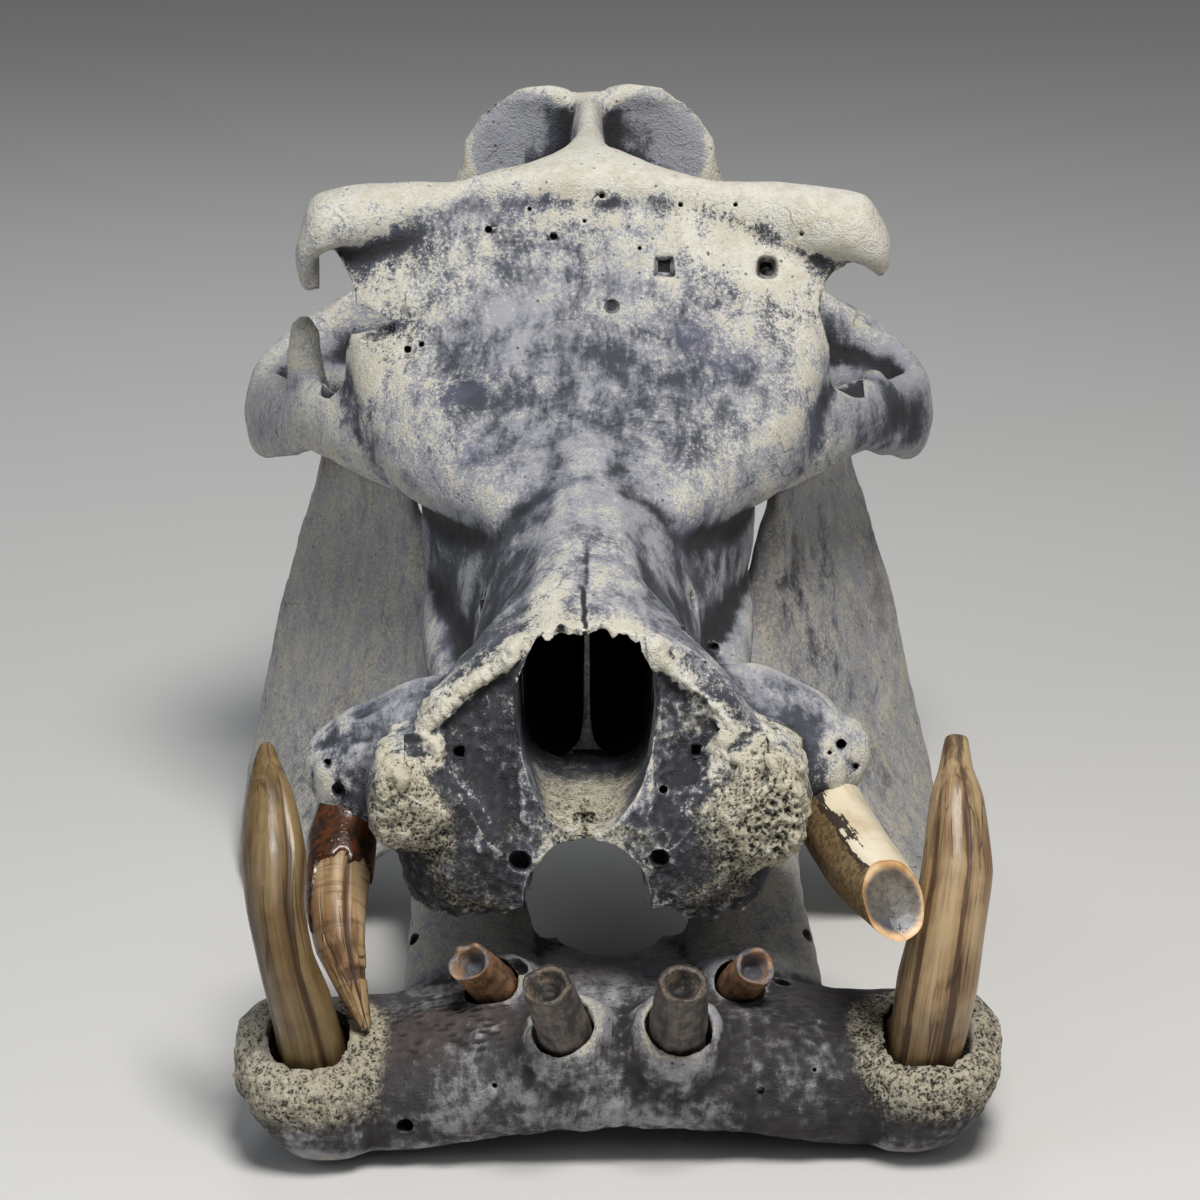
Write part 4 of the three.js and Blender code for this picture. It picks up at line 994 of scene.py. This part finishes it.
def tusk(name, path, frame_of_bone, shape, steps=7, sides=72, cap=(), cut=None):
    """A tooth along its path, with extra rings (scale, further) that close its end. cut(out, rise) moves the
    end along the tooth, in mm, at a place across it."""
    rings = along_path(path)
    last, tip = rings[-1], np.array(path[-1][:3])
    ahead = np.array(Vector(tip - np.array(path[-2][:3])).normalized())
    for scale, further in cap:
        rings.append(np.concatenate((tip + ahead * further, last[3:9] * scale, last[9:])))
    rows = eased(rings, steps)[:(len(path) - 1) * steps + 1]
    end = sum(np.linalg.norm(b[:3] - a[:3]) for a, b in zip(rows, rows[1:])) / 1000
    bm = skin(rings, steps, sides, shape)
    grain = bm.verts.layers.float_vector["grain"]
    if cut:
        for vert in bm.verts:
            out, rise, along = vert[grain]
            near_end = min(1, max(0, 1 + (along - end) / 0.024))
            vert.co += Vector(ahead) * cut(out * 1000 / path[-1][3], rise * 1000 / path[-1][4]) * near_end
    piece = gathered(name, [bm])
    piece["end"] = end
    piece.data.transform(frame_of_bone)
    smooth(piece)
    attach(piece, "root")
    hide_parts(name)
    return piece


def bump_at(turn, centre, width, height):
    """A ridge along a tooth, or a groove where height is below 0. Its centre and width are in degrees."""
    off = (math.degrees(turn) - centre + 180) % 360 - 180
    return height * math.exp(-((off / width) ** 2))


def round_noise(turn, wide, along):
    """A soft noise round a tooth, `wide` across, at a place along it."""
    return noise.noise(Vector((math.cos(turn) * wide, math.sin(turn) * wide, along)))


def left_tusk_shape(turn, share):
    fade = min(1, share * 3) * min(1, (1 - share) * 4)
    ridges = sum(bump_at(turn, *ridge) for ridge in (
        (-100, 24, 0.04), (-60, 6, -0.13), (-34, 18, 0.07), (-152, 10, -0.045), (60, 30, -0.05)))
    fine = 0.004 * math.sin(turn * 11) + 0.003 * math.sin(turn * 23 + 1)
    return 1 + (ridges + fine) * fade + 0.025 * round_noise(turn, 1.5, share * 9)


def right_tusk_shape(turn, share):
    fade = min(1, share * 3) * min(1, (1 - share) * 5)
    ridges = sum(bump_at(turn, *ridge) for ridge in (
        (-112, 14, 0.03), (-78, 5, -0.05), (-58, 4, -0.04), (-136, 7, -0.05), (-30, 12, 0.03),
        (70, 30, -0.05)))
    fine = 0.004 * math.sin(turn * 17 + 2) + 0.003 * math.sin(turn * 29)
    notch = 0.16 * round_noise(turn, 1.3, 4.2) * max(0, share * 8 - 7)
    return 1 + (ridges + fine) * fade + notch


def ivory_finish(name, light, mid, brown, gloss=0.3, growth=0.0):
    """Ivory with brown stain in its long grooves, fine lines along it, and growth rings where they show."""
    made, start, shader, feed = finish(name)
    grain = start.kept("grain", "Vector")
    groove = start.kept("groove")
    place = start.place()
    lines = grain.noise(0.0022, 6.0, 0.6, stretch=(1, 1, 0.03))
    bands = grain.noise(0.009, 4.0, 0.5, stretch=(1, 1, 0.07))
    clouds = place.noise(0.04, 4.0, 0.55)
    speck = place.noise(0.0014, 3.0, 0.7)
    rings = grain.noise(0.0026, 4.0, 0.6, stretch=(0.12, 0.12, 1))
    colour = (bands * 0.9 + lines * 0.6 + clouds * 0.9 - 0.72).band(0.28, 0.72).tint(light, mid)
    colour = (rings.band(0.5, 0.66) * growth).tint(colour, brown)
    stain = (groove * 7.0 + lines * 0.9 + bands * 0.8 + clouds * 0.7 - 1.1).band(0.12, 0.55)
    colour = (stain * 0.85).tint(colour, brown)
    crack = 1 - grain.cells(0.009, "DISTANCE_TO_EDGE", (1, 1, 0.05)).band(0.006, 0.035)
    crack = (crack * clouds.band(0.46, 0.58)).math("MAXIMUM", groove.band(0.085, 0.12))
    colour = (crack * 0.75).tint(colour, (0.03, 0.014, 0.006, 1))
    colour = (speck.band(0.62, 0.7) * 0.3).tint(colour, brown)
    height = lines * 0.5 + bands * 0.2 - crack * 0.8 + speck * 0.1 + rings * growth
    feed(base_color=colour, roughness=gloss + stain * 0.2 + speck * 0.12,
         normal=height.bumps(strength=0.45, depth=0.001))
    return made


for name, shape, cap, light, mid in (
    ("lower_canine_left", left_tusk_shape, ((0.55, 2.2),), (0.22, 0.15, 0.065, 1), (0.095, 0.055, 0.02, 1)),
    ("lower_canine_right", right_tusk_shape, ((0.7, 1.4), (0.3, 1.2)), (0.4, 0.29, 0.16, 1),
     (0.2, 0.115, 0.05, 1)),
):
    piece = tusk(name, LOWER_TUSKS[name], JAW_FRAME, shape, cap=cap)
    piece.data.materials.append(ivory_finish(name + "_ivory", light, mid, brown=(0.05, 0.024, 0.009, 1)))

# ---- the upper tusks ------------------------------------------------------------------------------------
# The right one is a smooth stub with an oval worn end, brown cement along its underside. The left one is
# broken to a splinter: cracked ivory, with its upper half under old amber resin.

UPPER_TUSKS = {
    "upper_canine_left": [
        [-108, 120, 58, 14, 15], [-121, 97, 37, 16, 17], [-129, 72, 18, 16.5, 17], [-131, 48, 6, 17, 17],
        [-131, 26, -6, 15.5, 16], [-128.5, 8, -18, 13, 14], [-122, -7, -34, 8, 9], [-115, -17, -51, 3, 4]],
    "upper_canine_right": [
        [98, 130, 60, 16, 17], [112, 107, 46, 18, 18], [125, 82, 32, 19, 19], [134, 56, 26, 19.5, 19.5],
        [142, 28, 24, 19.5, 19.5], [149.5, 2, 25, 18.5, 19], [156, -22, 28, 15.5, 18]]}


def stub_shape(turn, share):
    return 1 + 0.012 * math.sin(turn * 7) + 0.02 * round_noise(turn, 1, share * 5)


def worn_slant(out, rise):
    return 4 - 12 * rise + 2 * out


stub = tusk("upper_canine_right", UPPER_TUSKS["upper_canine_right"], SKULL_FRAME, stub_shape,
            cap=((0.96, 0.7), (0.82, 0.2), (0.5, -1.2), (0.2, -1.6)), cut=worn_slant)
made, start, shader, feed = finish("worn_ivory")
grain = start.kept("grain", "Vector")
place = start.place()
across, down, along = (grain.axis(name) for name in "XYZ")
from_axis = (across * across + down * down).math("SQRT")
clouds, fine = place.noise(0.02, 4.0, 0.55), place.noise(0.003, 5.0, 0.65)
lines = grain.noise(0.005, 5.0, 0.6, stretch=(1, 1, 0.06))
cream = (clouds * 0.7 + lines * 0.5 - 0.2).band(0.3, 0.7).tint((0.7, 0.62, 0.46, 1), (0.5, 0.38, 0.23, 1))
low_side = across * -62.0 + down * -20.0 + along * -1.5 + lines * 1.3 + clouds * 0.8 + fine * 0.3
cement = (low_side - 0.95).band(0.15, 0.2)
edge = cement * (1 - (low_side - 1.15).band(0.15, 0.3))
side = cement.tint(cream, fine.band(0.4, 0.6).tint((0.09, 0.06, 0.025, 1), (0.22, 0.14, 0.06, 1)))
side = edge.tint(side, (0.03, 0.02, 0.012, 1))
rim = (from_axis * 1000.0 + clouds * 4.0).band(14.5, 18.5)
core = (fine * 0.8 + clouds * 0.6 - 0.2).band(0.32, 0.68).tint((0.045, 0.042, 0.04, 1),
                                                               (0.13, 0.105, 0.075, 1))
core = (down * -70.0 + fine * 0.8 - 0.7).band(0.2, 0.5).tint(core, (0.03, 0.035, 0.05, 1))
face = rim.tint(core, clouds.band(0.4, 0.6).tint((0.5, 0.25, 0.08, 1), (0.72, 0.5, 0.28, 1)))
colour = along.band(stub["end"] + 0.0001, stub["end"] + 0.0006).tint(side, face)
height = lines * 0.5 + fine * 0.5 + cement * 0.8
feed(base_color=colour, roughness=0.3 + cement * 0.3 + fine * 0.12,
     normal=height.bumps(strength=0.35, depth=0.001))
stub.data.materials.append(made)


def splinter_shape(turn, share):
    crack = bump_at(turn, 72, 3.5, -0.2) * min(1, max(0, share * 6 - 2.8))
    crack += bump_at(turn, 118, 4, -0.07) * max(0, share - 0.3)
    torn = 0.07 * round_noise(turn, 2.2, share * 7) * share
    step = -0.1 * max(0, math.cos(turn - 0.5)) * (0.83 < share < 0.87)
    return 1 + crack + torn + step


def resin_edge(turn):
    """How far down the splinter the resin reaches, as a share, at an angle."""
    return 0.52 + bump_at(turn, 165, 30, 0.2) + 0.035 * round_noise(turn, 4, 1)


def resin_shape(turn, share):
    lumps = 0.045 * round_noise(turn, 2.4, share * 13)
    return (1.085 + lumps) if share < resin_edge(turn) * 1.12 else 0.8


splinter = tusk("upper_canine_left", UPPER_TUSKS["upper_canine_left"], SKULL_FRAME, splinter_shape,
                steps=14, cap=((0.4, 1.5),))
splinter.data.materials.append(ivory_finish(
    "splinter_ivory", (0.46, 0.33, 0.18, 1), (0.25, 0.14, 0.06, 1), (0.07, 0.028, 0.009, 1), gloss=0.36,
    growth=0.5))
resin = gathered("resin", [
    skin(along_path(UPPER_TUSKS["upper_canine_left"][:-1]), steps=12, sides=72, swell=resin_shape)])
resin.data.transform(SKULL_FRAME)
made, start, shader, feed = finish("amber_resin")
place = start.place()
clouds, fine = place.noise(0.012, 5.0, 0.6), place.noise(0.003, 4.0, 0.6)
bubble = 1 - place.cells(0.0045).band(0.12, 0.3)
colour = (clouds * 0.9 + fine * 0.5 - 0.2).band(0.3, 0.65).tint((0.11, 0.03, 0.005, 1),
                                                                (0.012, 0.004, 0.0015, 1))
height = clouds * 0.8 + fine * 0.4 + bubble * 0.35
feed(base_color=colour, roughness=0.2 + fine * 0.3, normal=height.bumps(strength=0.5, depth=0.0015))
shader.inputs["Coat Weight"].default_value = 0.35
shader.inputs["Coat Roughness"].default_value = 0.14
resin.data.materials.append(made)
smooth(resin)
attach(resin, "root")
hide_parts("upper_canine_left")

# ---- the incisor stubs ----------------------------------------------------------------------------------
# Four lower incisors broken off short. Each is a ringed shaft with a chipped rim round a hollow core.

for name, path in INCISORS.items():
    seed = path[0][0]
    shaft_light, shaft_dark, torn_dark, torn_light, core = (
        ((0.15, 0.12, 0.1, 1), (0.03, 0.026, 0.024, 1), (0.05, 0.046, 0.045, 1), (0.17, 0.13, 0.09, 1),
         (0.012, 0.011, 0.01, 1)) if "_1_" in name else
        ((0.36, 0.19, 0.09, 1), (0.1, 0.05, 0.025, 1), (0.13, 0.14, 0.165, 1), (0.38, 0.2, 0.09, 1),
         (0.06, 0.06, 0.07, 1)))

    def stub_swell(turn, share, seed=len(name) + seed):
        rings = 0.02 * math.sin(share * 40 + seed) * (share < 0.9)
        return 1 + rings + 0.05 * round_noise(turn, 1.2, share * 4 + seed)

    def chipped(out, rise, seed=seed):
        return 4.5 * noise.noise(Vector((out * 1.6, rise * 1.6, seed))) - 2 * rise

    piece = tusk(name, path, JAW_FRAME, stub_swell, steps=14, sides=56, cut=chipped,
                 cap=((0.92, 1.0), (0.76, 0.2), (0.6, -4.5), (0.36, -8), (0.12, -9)))
    made, start, shader, feed = finish(name + "_dentine")
    grain, place = start.kept("grain", "Vector"), start.place()
    across, down, along = (grain.axis(name) for name in "XYZ")
    clouds, fine = place.noise(0.009, 5.0, 0.65), place.noise(0.0022, 5.0, 0.7)
    lines = grain.noise(0.0035, 5.0, 0.6, stretch=(1, 1, 0.1))
    shaft = (lines * 0.6 + clouds * 1.1 - 0.35).band(0.3, 0.68).tint(shaft_light, shaft_dark)
    from_axis = (across * across + down * down).math("SQRT")
    torn = (clouds * 0.8 + fine * 0.8).band(0.7, 0.9).tint(torn_dark, torn_light)
    broken_end = from_axis.band(0.004, 0.0085).tint(core, torn)
    colour = along.band(piece["end"], piece["end"] + 0.0006).tint(shaft, broken_end)
    height = lines * 0.6 + fine * 0.5 + clouds * 0.4
    feed(base_color=colour, roughness=0.42 + fine * 0.3, normal=height.bumps(strength=0.6, depth=0.0014))
    piece.data.materials.append(made)
